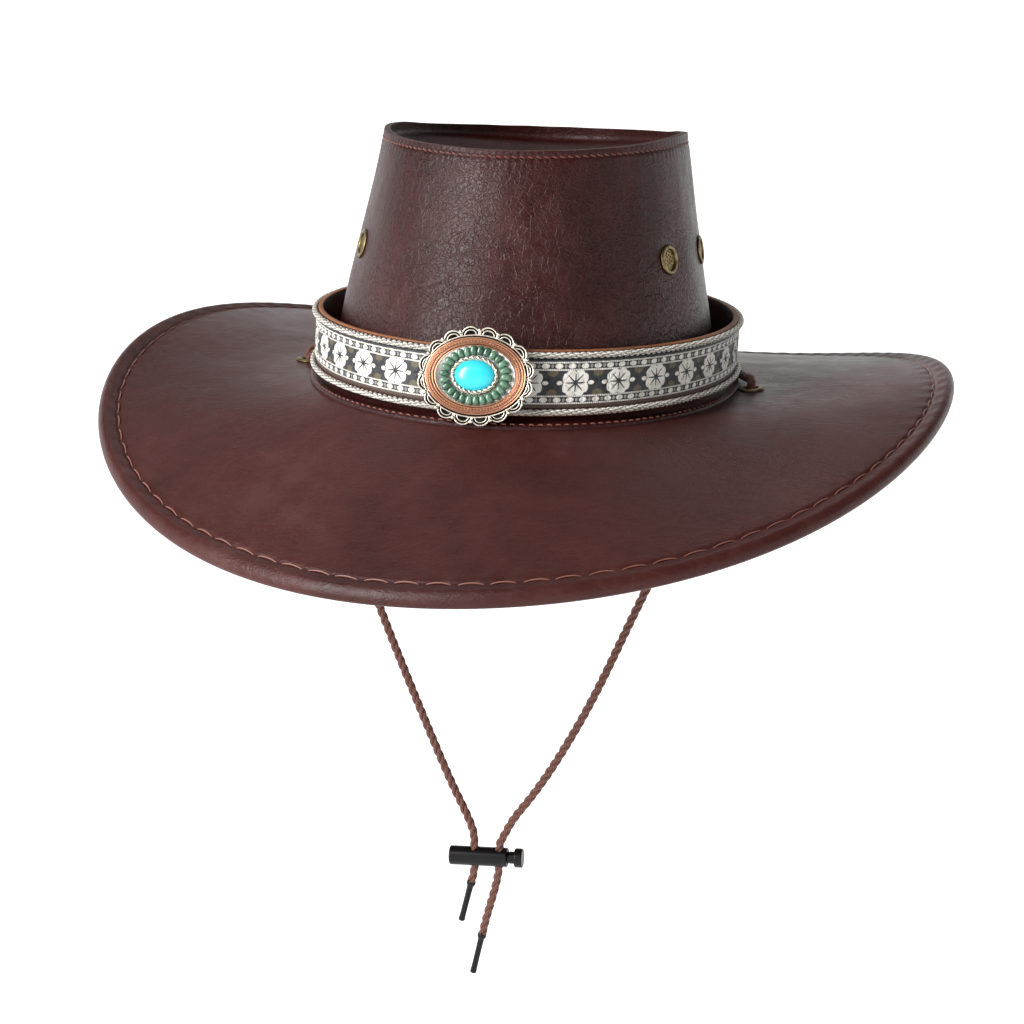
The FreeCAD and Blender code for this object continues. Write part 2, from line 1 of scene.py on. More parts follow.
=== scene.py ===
"""Leather cowboy hat: the visible surfaces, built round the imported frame.

Sizes in the classes are millimetres in the hat's own frame: the origin is the centre of the head
opening, the front with the concho faces -Y and +Z is up. Surface turns them into metres.
"""

import logging
import math
from dataclasses import dataclass, field
from enum import Enum

import bpy
import numpy as np
from mathutils import Matrix, Vector


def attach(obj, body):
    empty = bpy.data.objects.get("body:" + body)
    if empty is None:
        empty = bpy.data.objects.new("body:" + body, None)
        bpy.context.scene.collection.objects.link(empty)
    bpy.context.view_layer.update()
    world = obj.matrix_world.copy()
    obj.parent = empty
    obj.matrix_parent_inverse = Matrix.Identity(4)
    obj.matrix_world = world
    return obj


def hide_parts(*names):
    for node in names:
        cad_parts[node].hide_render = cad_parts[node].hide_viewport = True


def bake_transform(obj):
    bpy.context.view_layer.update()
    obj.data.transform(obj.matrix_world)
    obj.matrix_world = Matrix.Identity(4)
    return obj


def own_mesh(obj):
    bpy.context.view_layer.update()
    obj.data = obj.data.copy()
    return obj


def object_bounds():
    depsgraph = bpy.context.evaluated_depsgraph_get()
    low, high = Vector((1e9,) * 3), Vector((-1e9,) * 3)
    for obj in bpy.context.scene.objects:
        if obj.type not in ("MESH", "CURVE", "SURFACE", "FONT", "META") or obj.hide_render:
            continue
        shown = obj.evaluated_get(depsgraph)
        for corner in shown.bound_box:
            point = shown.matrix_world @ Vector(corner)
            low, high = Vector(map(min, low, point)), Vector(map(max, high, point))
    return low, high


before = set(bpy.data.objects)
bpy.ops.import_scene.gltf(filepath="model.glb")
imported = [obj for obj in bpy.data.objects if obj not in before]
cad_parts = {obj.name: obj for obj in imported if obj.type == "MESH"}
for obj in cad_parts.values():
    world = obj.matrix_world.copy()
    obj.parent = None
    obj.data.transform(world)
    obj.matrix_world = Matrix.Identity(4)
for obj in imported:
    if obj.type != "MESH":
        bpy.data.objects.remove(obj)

Array = np.ndarray
Colour = tuple[float, float, float]
Spot = tuple[float, float, float]
MM = 0.001
TAU = 2 * math.pi
CAD_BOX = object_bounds()
log = logging.getLogger("hat")


# ---- shapes ----

def unit(vectors: Array) -> Array:
    """Vectors divided by their own lengths."""
    return vectors / np.maximum(np.linalg.norm(vectors, axis=-1, keepdims=True), 1e-12)


def turns(count: int) -> Array:
    """Evenly spaced angles once round, without the repeated last one."""
    return np.arange(count) * TAU / count


def eased(points: Array, rounds: int = 2, closed: bool = True) -> Array:
    """A polygon with its corners cut: each side is replaced by its middle half, several times.

    Args:
        points: corners in order, one row each.
        rounds: how many times the corners are cut.
        closed: whether the last corner joins the first; an open line keeps its two ends.

    Returns:
        The smoothed corners.
    """
    line = np.asarray(points, float)
    for _ in range(rounds):
        following = np.roll(line, -1, 0) if closed else line[1:]
        current = line if closed else line[:-1]
        cut = np.stack([0.75 * current + 0.25 * following, 0.25 * current + 0.75 * following], 1)
        cut = cut.reshape(-1, line.shape[1])
        line = cut if closed else np.vstack([line[:1], cut, line[-1:]])
    return line


def reach_along(line: Array) -> Array:
    """Distance run from the start of a line to each of its points: the steps between them, added up."""
    return np.concatenate([[0.0], np.cumsum(np.linalg.norm(np.diff(line, axis=0), axis=1))])


def values_at(where: Array, reach: Array, values: Array) -> Array:
    """Rows of values, each column read at the distances where along the reach of their line."""
    return np.stack([np.interp(where, reach, values[:, k]) for k in range(values.shape[1])], -1)


def ring_closed(line: Array) -> Array:
    """A closed line with its first point repeated at the end."""
    return np.vstack([line, line[:1]])


def line_length(line: Array) -> float:
    """Length of an open line of points."""
    return float(np.linalg.norm(np.diff(line, axis=0), axis=1).sum())


def ripple(first: Array, second: Array, seed: int, waves: int, reach: tuple[float, float]) -> Array:
    """Smooth unevenness: a sum of sines of whole waves in turn and free waves in height.

    Args:
        first: turn round the hat, in radians.
        second: height or distance, in millimetres.
        seed: number that fixes the phases.
        waves: how many sines are added.
        reach: most waves round the hat, and most radians per millimetre across.

    Returns:
        Values of about -1 to 1 on the grid of both.
    """
    rng = np.random.default_rng(seed)
    total = np.zeros(np.broadcast(first, second).shape)
    for _ in range(waves):
        whole = rng.integers(1, int(reach[0]) + 1)
        total = total + np.sin(whole * first + rng.uniform(-1, 1) * reach[1] * second
                               + rng.uniform(0, TAU))
    return total / math.sqrt(waves)


def bell(values: Array, centre: float, width: float) -> Array:
    """Bell curve of height 1 about the centre."""
    return np.exp(-((values - centre) / width) ** 2)


@dataclass(frozen=True)
class Place:
    """A local frame: an origin and three unit axes."""

    origin: Array
    x: Array
    y: Array
    z: Array

    @staticmethod
    def at(origin: Array, x_axis: Array, z_axis: Array) -> "Place":
        """Frame whose Z runs along z_axis and whose X is as near x_axis as it can be.

        Args:
            origin: where the frame stands.
            x_axis: direction that X leans to.
            z_axis: direction of Z, of any length.

        Returns:
            The frame.
        """
        z = unit(np.asarray(z_axis, float))
        y = unit(np.cross(z, x_axis))
        return Place(np.asarray(origin, float), np.cross(y, z), y, z)

    def put(self, points: Array) -> Array:
        """Local points moved into the hat's frame."""
        return (self.origin + points[..., 0:1] * self.x + points[..., 1:2] * self.y
                + points[..., 2:3] * self.z)


@dataclass(frozen=True)
class HatShape:
    """The ovals and slopes that every layer of the hat follows."""

    base_a: float = 87.6
    base_b: float = 111.3
    top_a: float = 67.6
    top_b: float = 80.7
    height: float = 104.8
    top_rise: float = 0.4
    side_rise: float = 1.9
    left_rise: float = 0.9
    ridge: float = 3.7
    leather: float = 1.4
    seam_a: float = 94.6
    seam_b: float = 120.0
    brim_width: float = 97.8
    front_trim: float = 0.033
    roll: float = 3.3
    band_a: float = 93.4
    band_b: float = 111.5
    band_top: float = 31.6
    band_height: float = 25.7
    band_lean: float = 0.29
    band_tilt: float = 0.02

    def slope(self, turn: Array) -> Array:
        """Angle of the brim above the level, in radians: a sum of waves round the hat.

        Args:
            turn: angle round the hat.

        Returns:
            The angles.
        """
        degrees = (-9.4 + 12.5 * np.cos(2 * turn) + 11.8 * np.sin(turn) + 1.2 * np.sin(3 * turn)
                   + 0.6 * np.cos(4 * turn) + 2.7 * np.cos(turn) - 3.8 * np.sin(2 * turn))
        return np.radians(degrees)

    def brim(self, turn: Array, out: Array, up: Array) -> Array:
        """Point of the brim: out from the crown's seam along its normal, up the slope, then raised.

        The distance shrinks by a small share towards the front.

        Args:
            turn: angle round the hat.
            out: distance out from the seam.
            up: height above the brim's top face.

        Returns:
            The points.
        """
        turn, out, up = np.broadcast_arrays(turn, out, up)
        out = np.where(out > 0, out * (1 - self.front_trim * ((1 - np.sin(turn)) / 2) ** 3), out)
        scale = np.hypot(np.cos(turn) / self.seam_a, np.sin(turn) / self.seam_b)
        angle = np.where(out > 0, self.slope(turn), 0.0)
        level = out * np.cos(angle)
        return np.stack([self.seam_a * np.cos(turn) + level * np.cos(turn) / self.seam_a / scale,
                         self.seam_b * np.sin(turn) + level * np.sin(turn) / self.seam_b / scale,
                         out * np.sin(angle) + up], -1)

    def top_wave(self, turn: Array) -> Array:
        """Height of the top seam above its mean: higher over the sides, most over the wearer's left."""
        return self.top_rise + self.side_rise * np.cos(2 * turn) + self.left_rise * np.cos(turn)

    def wall(self, turn: Array, z: Array, inset: Array) -> Array:
        """Point of the crown wall: an oval that shrinks evenly with height.

        Args:
            turn: angle round the hat.
            z: height on the wall, before the top's wave is added.
            inset: distance in from the outer face.

        Returns:
            The points.
        """
        turn, z, inset = np.broadcast_arrays(turn, z, inset)
        share = z / self.height
        a = self.base_a + (self.top_a - self.base_a) * share - inset
        b = self.base_b + (self.top_b - self.base_b) * share - inset
        return np.stack([a * np.cos(turn), b * np.sin(turn), z + share * self.top_wave(turn)], -1)

    def band(self, turn: Array, up: Array, outward: Array) -> Array:
        """Point of the hatband: an oval that leans in with height and tilts from front to back.

        Args:
            turn: angle round the hat.
            up: height above the band's lower edge.
            outward: distance out from the strap's middle.

        Returns:
            The points.
        """
        turn, up, outward = np.broadcast_arrays(turn, up, outward)
        lean = self.band_lean * (self.band_height / 2 - up)
        y = (self.band_b + lean + outward) * np.sin(turn)
        return np.stack([(self.band_a + outward) * np.cos(turn), y,
                         self.band_top - self.band_height + up + self.band_tilt * y], -1)

    def vent_place(self, turn: float, z: float) -> Place:
        """Frame on the outside of the crown wall, Z outwards.

        Args:
            turn: angle round the hat.
            z: height on the wall.

        Returns:
            The frame.
        """
        here = self.wall(turn, z, 0.0)
        along = self.wall(turn + 0.01, z, 0.0) - here
        return Place.at(here, along, np.cross(along, self.wall(turn, z + 1, 0.0) - here))

    def brim_place(self, turn: float, out: float) -> Place:
        """Frame on top of the brim, Z out of the leather.

        Args:
            turn: angle round the hat.
            out: distance from the seam.

        Returns:
            The frame.
        """
        here = self.brim(turn, out, 0.0)
        outward = self.brim(turn, out + 1, 0.0) - here
        return Place.at(here, outward, np.cross(outward, self.brim(turn + 0.01, out, 0.0) - here))


HAT = HatShape()


# ---- meshes ----

def linked(name: str, data: bpy.types.ID) -> bpy.types.Object:
    """A new object with that data, in the scene."""
    made = bpy.data.objects.new(name, data)
    bpy.context.scene.collection.objects.link(made)
    return made


def spans(points: Array, axis: int, wraps: bool) -> Array:
    """Mean distance run along one axis of a grid, starting at 0, with the closing step if it wraps.

    Args:
        points: the grid.
        axis: 0 along the rows, 1 along the columns.
        wraps: whether the last joins the first.

    Returns:
        The distances.
    """
    following = np.roll(points, -1, axis)
    steps = np.linalg.norm(following - points, axis=-1).mean(1 - axis)
    if not wraps:
        steps = steps[:-1]
    return np.concatenate([[0.0], np.cumsum(steps)])


class Surface:
    """Collects closed parts, in millimetres, and makes one mesh of them in metres."""

    def __init__(self) -> None:
        """Nothing collected yet."""
        self.points: list[Array] = []
        self.corners: list[Array] = []
        self.sizes: list[Array] = []
        self.maps: list[Array] = []
        self.tones: list[Array] = []
        self.dresses: list[Array] = []
        self.count = 0

    def _add(self, points: Array, faces: list[Array], maps: list[Array], tone: Array, dress: int) -> None:
        """Adds one closed part; its faces are turned over if they enclose a negative volume.

        Args:
            points: its points, one row each.
            faces: point numbers of its faces, one array for each count of corners.
            maps: map coordinates of the same corners.
            tone: number stored on its points.
            dress: material number of its faces.
        """
        volume = 0.0
        for quad in faces:
            p = points[quad]
            for k in range(1, quad.shape[1] - 1):
                volume += np.einsum("ij,ij->", p[:, 0], np.cross(p[:, k], p[:, k + 1]))
        for quad, uv in zip(faces, maps):
            if volume < 0:
                quad, uv = quad[:, ::-1], uv[:, ::-1]
            self.corners.append(quad.ravel() + self.count)
            self.sizes.append(np.full(len(quad), quad.shape[1]))
            self.maps.append(uv.reshape(-1, 2))
            self.dresses.append(np.full(len(quad), dress))
        self.points.append(points)
        self.tones.append(np.broadcast_to(tone, len(points)))
        self.count += len(points)

    def grid(self, points: Array, rows_wrap: bool, dress: int = 0, tone: float = 0.0,
             row_dress: tuple[tuple[int, int, int], ...] = ()) -> "Surface":
        """Adds a grid whose columns wrap: its rows wrap too, or its two end rows are closed by fans.

        Args:
            points: array of rows by columns by three.
            rows_wrap: whether the last row joins the first.
            dress: material number of the faces.
            tone: number stored on the points, which a material may read.
            row_dress: other material numbers, each with its first row and the row after its last.

        Returns:
            The surface itself.
        """
        rows, cols = points.shape[:2]
        far, wide = spans(points, 0, rows_wrap) * MM, spans(points, 1, True) * MM
        r, c = np.meshgrid(np.arange(rows if rows_wrap else rows - 1), np.arange(cols), indexing="ij")
        r, c = r.ravel(), c.ravel()
        at_row = np.stack([r, r, r + 1, r + 1], 1)
        at_col = np.stack([c, c + 1, c + 1, c], 1)
        faces = [at_row % rows * cols + at_col % cols]
        maps = [np.stack([wide[at_col], far[at_row]], -1)]
        flat = points.reshape(-1, 3)
        if not rows_wrap:
            around = np.arange(cols)
            ahead = (around + 1) % cols
            ends = np.stack([flat[:cols].mean(0), flat[-cols:].mean(0)])
            first, last = rows * cols, rows * cols + 1
            base = (rows - 1) * cols
            faces.append(np.stack([np.full(cols, first), ahead, around], 1))
            faces.append(np.stack([np.full(cols, last), base + around, base + ahead], 1))
            edge = np.stack([wide[around + 1], np.zeros(cols)], 1)
            back = np.stack([wide[around], np.zeros(cols)], 1)
            for shift, pair in ((0.0, (edge, back)), (far[-1], (back, edge))):
                uv = np.stack([(edge + back) / 2, *pair], 1)
                uv[..., 1] += shift
                maps.append(uv)
            flat = np.vstack([flat, ends])
        start = len(self.dresses)
        self._add(flat, faces, maps, np.float64(tone), dress)
        for number, low, high in row_dress:
            self.dresses[start] = np.where((r >= low) & (r < high), number, self.dresses[start])
        return self

    def copies(self, points: Array, tones: Array | None = None) -> "Surface":
        """Adds many small closed tubes of the same build.

        Args:
            points: array of copies by rows by columns by three.
            tones: number stored on each copy, or None for zeros.

        Returns:
            The surface itself.
        """
        number = len(points)
        one = Surface().grid(points[0], False)
        per = one.count
        ends = np.stack([points[:, 0].mean(1), points[:, -1].mean(1)], 1)
        flat = np.concatenate([points.reshape(number, -1, 3), ends], 1).reshape(-1, 3)
        shift = np.arange(number)[:, None] * per + self.count
        for k, (corner, size, uv) in enumerate(zip(one.corners, one.sizes, one.maps)):
            self.corners.append((corner[None] + shift).ravel())
            self.sizes.append(np.tile(size, number))
            self.maps.append(np.tile(uv, (number, 1)))
            self.dresses.append(np.tile(one.dresses[k], number))
        self.points.append(flat)
        self.tones.append(np.repeat(np.zeros(number) if tones is None else tones, per))
        self.count += number * per
        return self

    def piece(self, name: str, finishes: list["Finish | bpy.types.Material"], body: str, slot: str,
              stands_for: tuple[str, ...] = (), sharp: float = 38.0, rides: bool = True) -> bpy.types.Object:
        """Makes the object, dresses it, and lets it ride on its body.

        Args:
            name: name of the piece.
            finishes: finishes or ready materials, in the order of the dress numbers.
            body: CAD body it moves with.
            slot: material slot of the record; not used.
            stands_for: CAD nodes that it replaces.
            sharp: edges with a larger turn than this, in degrees, are drawn sharp.
            rides: whether it is attached to its body; with rides off, it is left unattached.

        Returns:
            The finished object.
        """
        points = np.concatenate(self.points) * MM
        corners = np.concatenate(self.corners).astype(np.int32)
        sizes = np.concatenate(self.sizes)
        mesh = bpy.data.meshes.new(name)
        mesh.vertices.add(len(points))
        mesh.vertices.foreach_set("co", points.astype(np.float32).ravel())
        mesh.loops.add(len(corners))
        mesh.loops.foreach_set("vertex_index", corners)
        mesh.polygons.add(len(sizes))
        starts = np.concatenate([[0], np.cumsum(sizes)[:-1]]).astype(np.int32)
        mesh.polygons.foreach_set("loop_start", starts)
        mesh.polygons.foreach_set("material_index", np.concatenate(self.dresses).astype(np.int32))
        mesh.update(calc_edges=True)
        mesh.validate()
        mesh.uv_layers.new(name="UVMap").data.foreach_set(
            "uv", np.concatenate(self.maps).astype(np.float32).ravel())
        tone = mesh.attributes.new("tone", "FLOAT", "POINT")
        tone.data.foreach_set("value", np.concatenate(self.tones).astype(np.float32))
        mesh.shade_smooth()
        mesh.set_sharp_from_angle(angle=math.radians(sharp))
        made = linked(name, mesh)
        for finish in finishes:
            mesh.materials.append(finish.material() if isinstance(finish, Finish) else finish)
        if stands_for:
            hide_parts(*stands_for)
        if rides:
            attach(made, body)
        log.info("%s: %d faces, on %s", name, len(sizes), body)
        return made


def drilled(made: bpy.types.Object, places: list[Place], radius: float, reach: float) -> None:
    """Cuts a round hole along each place's Z through the piece's mesh.

    Args:
        made: the piece, whose mesh is changed.
        places: where the holes are.
        radius: radius of the holes, in millimetres.
        reach: how far the cutter runs each way, in millimetres.
    """
    angle = turns(40)
    circle = np.stack([radius * np.cos(angle), radius * np.sin(angle)], -1)
    bits = Surface()
    for place in places:
        rows = np.stack([np.column_stack([circle, np.full(40, end)]) for end in (-reach, reach)])
        bits.grid(place.put(rows), False)
    cutter = linked("cutter", bpy.data.meshes.new("cutter"))
    cutter.data.from_pydata(np.concatenate(bits.points) * MM, [], [
        list(face) for face in np.split(np.concatenate(bits.corners),
                                        np.cumsum(np.concatenate(bits.sizes))[:-1])])
    cut = made.modifiers.new("holes", "BOOLEAN")
    cut.operation, cut.solver, cut.object = "DIFFERENCE", "EXACT", cutter
    bpy.context.view_layer.update()
    ready = bpy.data.meshes.new_from_object(made.evaluated_get(bpy.context.evaluated_depsgraph_get()))
    made.modifiers.clear()
    ready.name = made.name
    made.data = ready
    bpy.data.objects.remove(cutter)


def lathe(profile: Array, place: Place, sides: int, stretch: tuple[float, float] = (1.0, 1.0)) -> Array:
    """Points of a profile turned about the place's Z.

    Args:
        profile: rows of radius and height.
        place: frame that the profile is turned in.
        sides: steps of the turn.
        stretch: what the radius is multiplied by along X and Y, which makes an oval.

    Returns:
        Array of profile rows by sides by three.
    """
    angle = turns(sides)[None]
    radius, rise = profile[:, 0:1], profile[:, 1:2]
    local = np.stack([radius * stretch[0] * np.cos(angle), radius * stretch[1] * np.sin(angle),
                      np.broadcast_to(rise, (len(profile), sides))], -1)
    return place.put(local)


def tube_round(line: Array, over: Array, radius: Array, sides: int, closed: bool) -> Array:
    """Rings of points about a line: each ring lies across the line's own direction.

    Args:
        line: centre points.
        over: directions, never along the line, that fix where each ring starts.
        radius: radius at each point, or one for all.
        sides: points of a ring.
        closed: whether the line's end joins its start.

    Returns:
        Array of line points by sides by three.
    """
    if closed:
        ahead = np.roll(line, -1, -2) - np.roll(line, 1, -2)
    else:
        ahead = np.gradient(line, axis=-2)
    ahead = unit(ahead)
    across = unit(np.cross(ahead, over))
    above = np.cross(across, ahead)
    angle = turns(sides)
    wide = np.broadcast_to(radius, line.shape[:-1])[..., None, None]
    return line[..., None, :] + wide * (np.cos(angle)[:, None] * above[..., None, :]
                                        + np.sin(angle)[:, None] * across[..., None, :])


@dataclass(frozen=True)
class Rope:
    """Twisted cord: each strand is a tube whose centre winds round the cord's own line."""

    strands: int
    strand_radius: float
    lay_radius: float
    pitch: float
    sides: int = 10

    def along(self, surface: Surface, line: Array, over: Array, closed: bool) -> None:
        """Adds the strands along a line: centre = line + lay radius turned once in each pitch.

        Args:
            surface: what the strands are added to.
            line: points of the cord's centre.
            over: directions, never along the line, at each point.
            closed: whether the cord is endless.
        """
        ahead = unit(np.roll(line, -1, 0) - np.roll(line, 1, 0)) if closed else unit(np.gradient(line, axis=0))
        across = unit(np.cross(ahead, over))
        above = np.cross(across, ahead)
        reach = reach_along(line)
        total = reach[-1] + (np.linalg.norm(line[0] - line[-1]) if closed else 0.0)
        winds = round(total / self.pitch) if closed else total / self.pitch
        for number in range(self.strands):
            wind = TAU * (reach / total * winds + number / self.strands)
            centre = line + self.lay_radius * (np.cos(wind)[:, None] * above + np.sin(wind)[:, None] * across)
            surface.grid(tube_round(centre, over, self.strand_radius, self.sides, closed), closed,
                         tone=number / self.strands)


@dataclass(frozen=True)
class Seam:
    """A row of stitches along a closed line: each is a thin tube that bows up out of the leather."""

    pitch: float
    share: float
    radius: float
    lift: float
    bow: float
    slant: float = 0.0
    steps: int = 7
    sides: int = 6

    def sew(self, line: Array, normal: Array, seed: int) -> Array:
        """Points of every stitch; its middle is lifted along the normal and bowed sideways.

        Args:
            line: closed line of the seam.
            normal: outward direction of the leather at each point.
            seed: number that fixes the small differences between stitches.

        Returns:
            Array of stitches by steps by sides by three.
        """
        rng = np.random.default_rng(seed)
        whole = ring_closed(line)
        total = line_length(whole)
        number = round(total / self.pitch)
        reach = reach_along(whole)
        run = np.linspace(0, 1, self.steps)[None]
        start = (np.arange(number)[:, None] + rng.uniform(-0.03, 0.03, (number, 1))) * total / number
        where = (start + run * self.share * total / number) % total
        at = values_at(where, reach, whole)
        over = unit(values_at(where, reach, ring_closed(normal)))
        ahead = unit(np.gradient(at, axis=1))
        side = unit(np.cross(ahead, over))
        arch = np.sin(np.pi * run) ** 0.6
        lift = self.lift * arch - self.radius * 1.1 * (1 - arch)
        bow = self.bow * 4 * run * (1 - run) * rng.uniform(0.8, 1.2, (number, 1)) + self.slant * (run - 0.5)
        centre = at + lift[..., None] * over + bow[..., None] * side
        thick = self.radius * (0.65 + 0.35 * arch)
        return tube_round(centre, over, thick * np.ones((number, 1)), self.sides, False)


def open_spline(route: list[Spot], spacing: float) -> Array:
    """Points, evenly apart in millimetres, of the smooth open spline with the route's control points.

    Args:
        route: control points, in metres.
        spacing: distance between the points returned, in millimetres.

    Returns:
        Points in millimetres.
    """
    curve = bpy.data.curves.new("route", "CURVE")
    curve.dimensions = "3D"
    curve.resolution_u = 32
    spline = curve.splines.new("NURBS")
    spline.points.add(len(route) - 1)
    spline.points.foreach_set("co", np.array([(*p, 1.0) for p in route], np.float32).ravel())
    spline.order_u = 3
    spline.use_endpoint_u = True
    holder = linked("route", curve)
    bpy.context.view_layer.update()
    mesh = bpy.data.meshes.new_from_object(holder)
    found = np.empty(len(mesh.vertices) * 3, np.float32)
    mesh.vertices.foreach_get("co", found)
    bpy.data.objects.remove(holder)
    bpy.data.meshes.remove(mesh)
    line = found.reshape(-1, 3).astype(float) / MM
    total = line_length(line)
    return values_at(np.linspace(0, total, max(2, round(total / spacing) + 1)), reach_along(line), line)


# ---- shader wiring ----

class Signal:
    """A number carried between shader nodes, with the plain operators of arithmetic."""

    def __init__(self, wiring: "Wiring", socket: bpy.types.NodeSocket) -> None:
        """The number at a node's output socket, in its material's wiring."""
        self.wiring = wiring
        self.socket = socket

    def __add__(self, other: "Value") -> "Signal":
        """Sum."""
        return self.wiring.math("ADD", self, other)

    __radd__ = __add__

    def __mul__(self, other: "Value") -> "Signal":
        """Product."""
        return self.wiring.math("MULTIPLY", self, other)

    __rmul__ = __mul__

    def __sub__(self, other: "Value") -> "Signal":
        """Difference."""
        return self.wiring.math("SUBTRACT", self, other)

    def __rsub__(self, other: "Value") -> "Signal":
        """Difference, the other way."""
        return self.wiring.math("SUBTRACT", other, self)

    def __truediv__(self, other: "Value") -> "Signal":
        """Quotient."""
        return self.wiring.math("DIVIDE", self, other)


Value = Signal | Array | float
PLAIN = {"ABSOLUTE": np.abs, "MINIMUM": np.minimum, "MAXIMUM": np.maximum, "SQRT": np.sqrt,
         "SINE": np.sin, "ARCTAN2": np.arctan2, "POWER": np.power, "FRACT": lambda x: x - np.floor(x)}


def calc(kind: str, *values: Value) -> Value:
    """One step of arithmetic, on arrays of numbers or on shader signals alike.

    Args:
        kind: name of the operation, as a math node has it.
        *values: its inputs.

    Returns:
        A signal if any input is one, else numbers.
    """
    for value in values:
        if isinstance(value, Signal):
            return value.wiring.math(kind, *values)
    return PLAIN[kind](*values)


def soft(value: Value, low: float, high: float) -> Value:
    """0 below low, 1 above high and even between."""
    return calc("MINIMUM", calc("MAXIMUM", (value - low) / (high - low), 0.0), 1.0)


class Wiring:
    """A new material and the nodes that feed its shader."""

    def __init__(self, name: str) -> None:
        """A material of that name, with only its shader and its output."""
        self.material = bpy.data.materials.new(name)
        self.material.use_nodes = True
        self.tree = self.material.node_tree
        self.tree.nodes.clear()
        self.shader = self.tree.nodes.new("ShaderNodeBsdfPrincipled")
        out = self.tree.nodes.new("ShaderNodeOutputMaterial")
        self.tree.links.new(self.shader.outputs["BSDF"], out.inputs["Surface"])

    def node(self, kind: str, inputs: dict[str | int, object], **settings: object) -> bpy.types.Node:
        """A node with its settings and inputs; an input is a signal, a socket or a plain value.

        Args:
            kind: Blender's name for the node.
            inputs: signals, sockets or plain values, by input.
            **settings: its own settings.

        Returns:
            The node.
        """
        made = self.tree.nodes.new(kind)
        for key, value in settings.items():
            setattr(made, key, value)
        for key, value in inputs.items():
            self.feed(made.inputs[key], value)
        return made

    def feed(self, target: bpy.types.NodeSocket, value: object) -> None:
        """Joins a signal or socket to an input, or sets the input's own value.

        Args:
            target: the input.
            value: what it gets.
        """
        if isinstance(value, Signal):
            self.tree.links.new(value.socket, target)
        elif isinstance(value, bpy.types.NodeSocket):
            self.tree.links.new(value, target)
        elif isinstance(value, tuple) and len(value) == 3 and target.type == "RGBA":
            target.default_value = (*value, 1.0)
        else:
            target.default_value = value

    def math(self, kind: str, *values: Value) -> Signal:
        """One arithmetic node."""
        made = self.node("ShaderNodeMath", dict(enumerate(values)), operation=kind)
        return Signal(self, made.outputs[0])

    def place(self, scale: tuple[float, float, float] = (1.0, 1.0, 1.0)) -> bpy.types.NodeSocket:
        """The object's own coordinates in metres, scaled along each axis."""
        where = self.node("ShaderNodeTexCoord", {}).outputs["Object"]
        return self.node("ShaderNodeMapping", {"Vector": where, "Scale": scale}).outputs[0]

    def flat(self) -> tuple[Signal, Signal]:
        """The two coordinates of the piece's own map, in metres."""
        where = self.node("ShaderNodeTexCoord", {}).outputs["UV"]
        parts = self.node("ShaderNodeSeparateXYZ", {0: where})
        return Signal(self, parts.outputs[0]), Signal(self, parts.outputs[1])

    def tone(self) -> Signal:
        """The number stored on the piece's points."""
        return Signal(self, self.node("ShaderNodeAttribute", {}, attribute_name="tone").outputs["Fac"])

    def noise(self, where: bpy.types.NodeSocket, scale: float, detail: float = 3.0,
              rough: float = 0.55, twist: float = 0.0) -> Signal:
        """Cloudy noise of 0 to 1, its scale in lumps per metre."""
        made = self.node("ShaderNodeTexNoise", {"Vector": where, "Scale": scale, "Detail": detail,
                                                "Roughness": rough, "Distortion": twist})
        return Signal(self, made.outputs[0])

    def cells(self, where: bpy.types.NodeSocket, scale: float, edges: bool = True) -> Signal:
        """Distance to the nearest edge, or to the nearest centre, of irregular cells."""
        made = self.node("ShaderNodeTexVoronoi", {"Vector": where, "Scale": scale},
                         feature="DISTANCE_TO_EDGE" if edges else "F1")
        return Signal(self, made.outputs["Distance"])

    def warped(self, where: bpy.types.NodeSocket, scale: float, reach: float) -> bpy.types.NodeSocket:
        """Coordinates pushed about by coloured noise.

        Args:
            where: coordinates in metres.
            scale: lumps of the noise per metre.
            reach: longest push, in metres.

        Returns:
            The pushed coordinates.
        """
        made = self.node("ShaderNodeTexNoise", {"Vector": where, "Scale": scale, "Detail": 3.0})
        shift = self.node("ShaderNodeVectorMath", {0: made.outputs["Color"], 1: (-0.5, -0.5, -0.5)},
                          operation="ADD")
        sized = self.node("ShaderNodeVectorMath", {0: shift.outputs[0], "Scale": reach * 2}, operation="SCALE")
        return self.node("ShaderNodeVectorMath", {0: where, 1: sized.outputs[0]}, operation="ADD").outputs[0]

    def ramp(self, value: Signal, stops: list[tuple[float, Colour]]) -> bpy.types.NodeSocket:
        """Colour from a number by a ramp of colours.

        Args:
            value: number of 0 to 1.
            stops: places on the ramp and their colours.

        Returns:
            The colour.
        """
        made = self.node("ShaderNodeValToRGB", {"Fac": value})
        while len(made.color_ramp.elements) < len(stops):
            made.color_ramp.elements.new(0.5)
        for element, (at, colour) in zip(made.color_ramp.elements, stops):
            element.position, element.color = at, (*colour, 1.0)
        return made.outputs["Color"]

    def mix(self, share: Value, a: object, b: object, kind: str = "MIX") -> bpy.types.NodeSocket:
        """Colour between a and b.

        Args:
            share: how much of b, 0 to 1.
            a: first colour.
            b: second colour.
            kind: how they mix.

        Returns:
            The colour.
        """
        made = self.node("ShaderNodeMix", {}, data_type="RGBA", blend_type=kind)
        self.feed(made.inputs[0], share)
        self.feed(made.inputs[6], a)
        self.feed(made.inputs[7], b)
        return made.outputs[2]

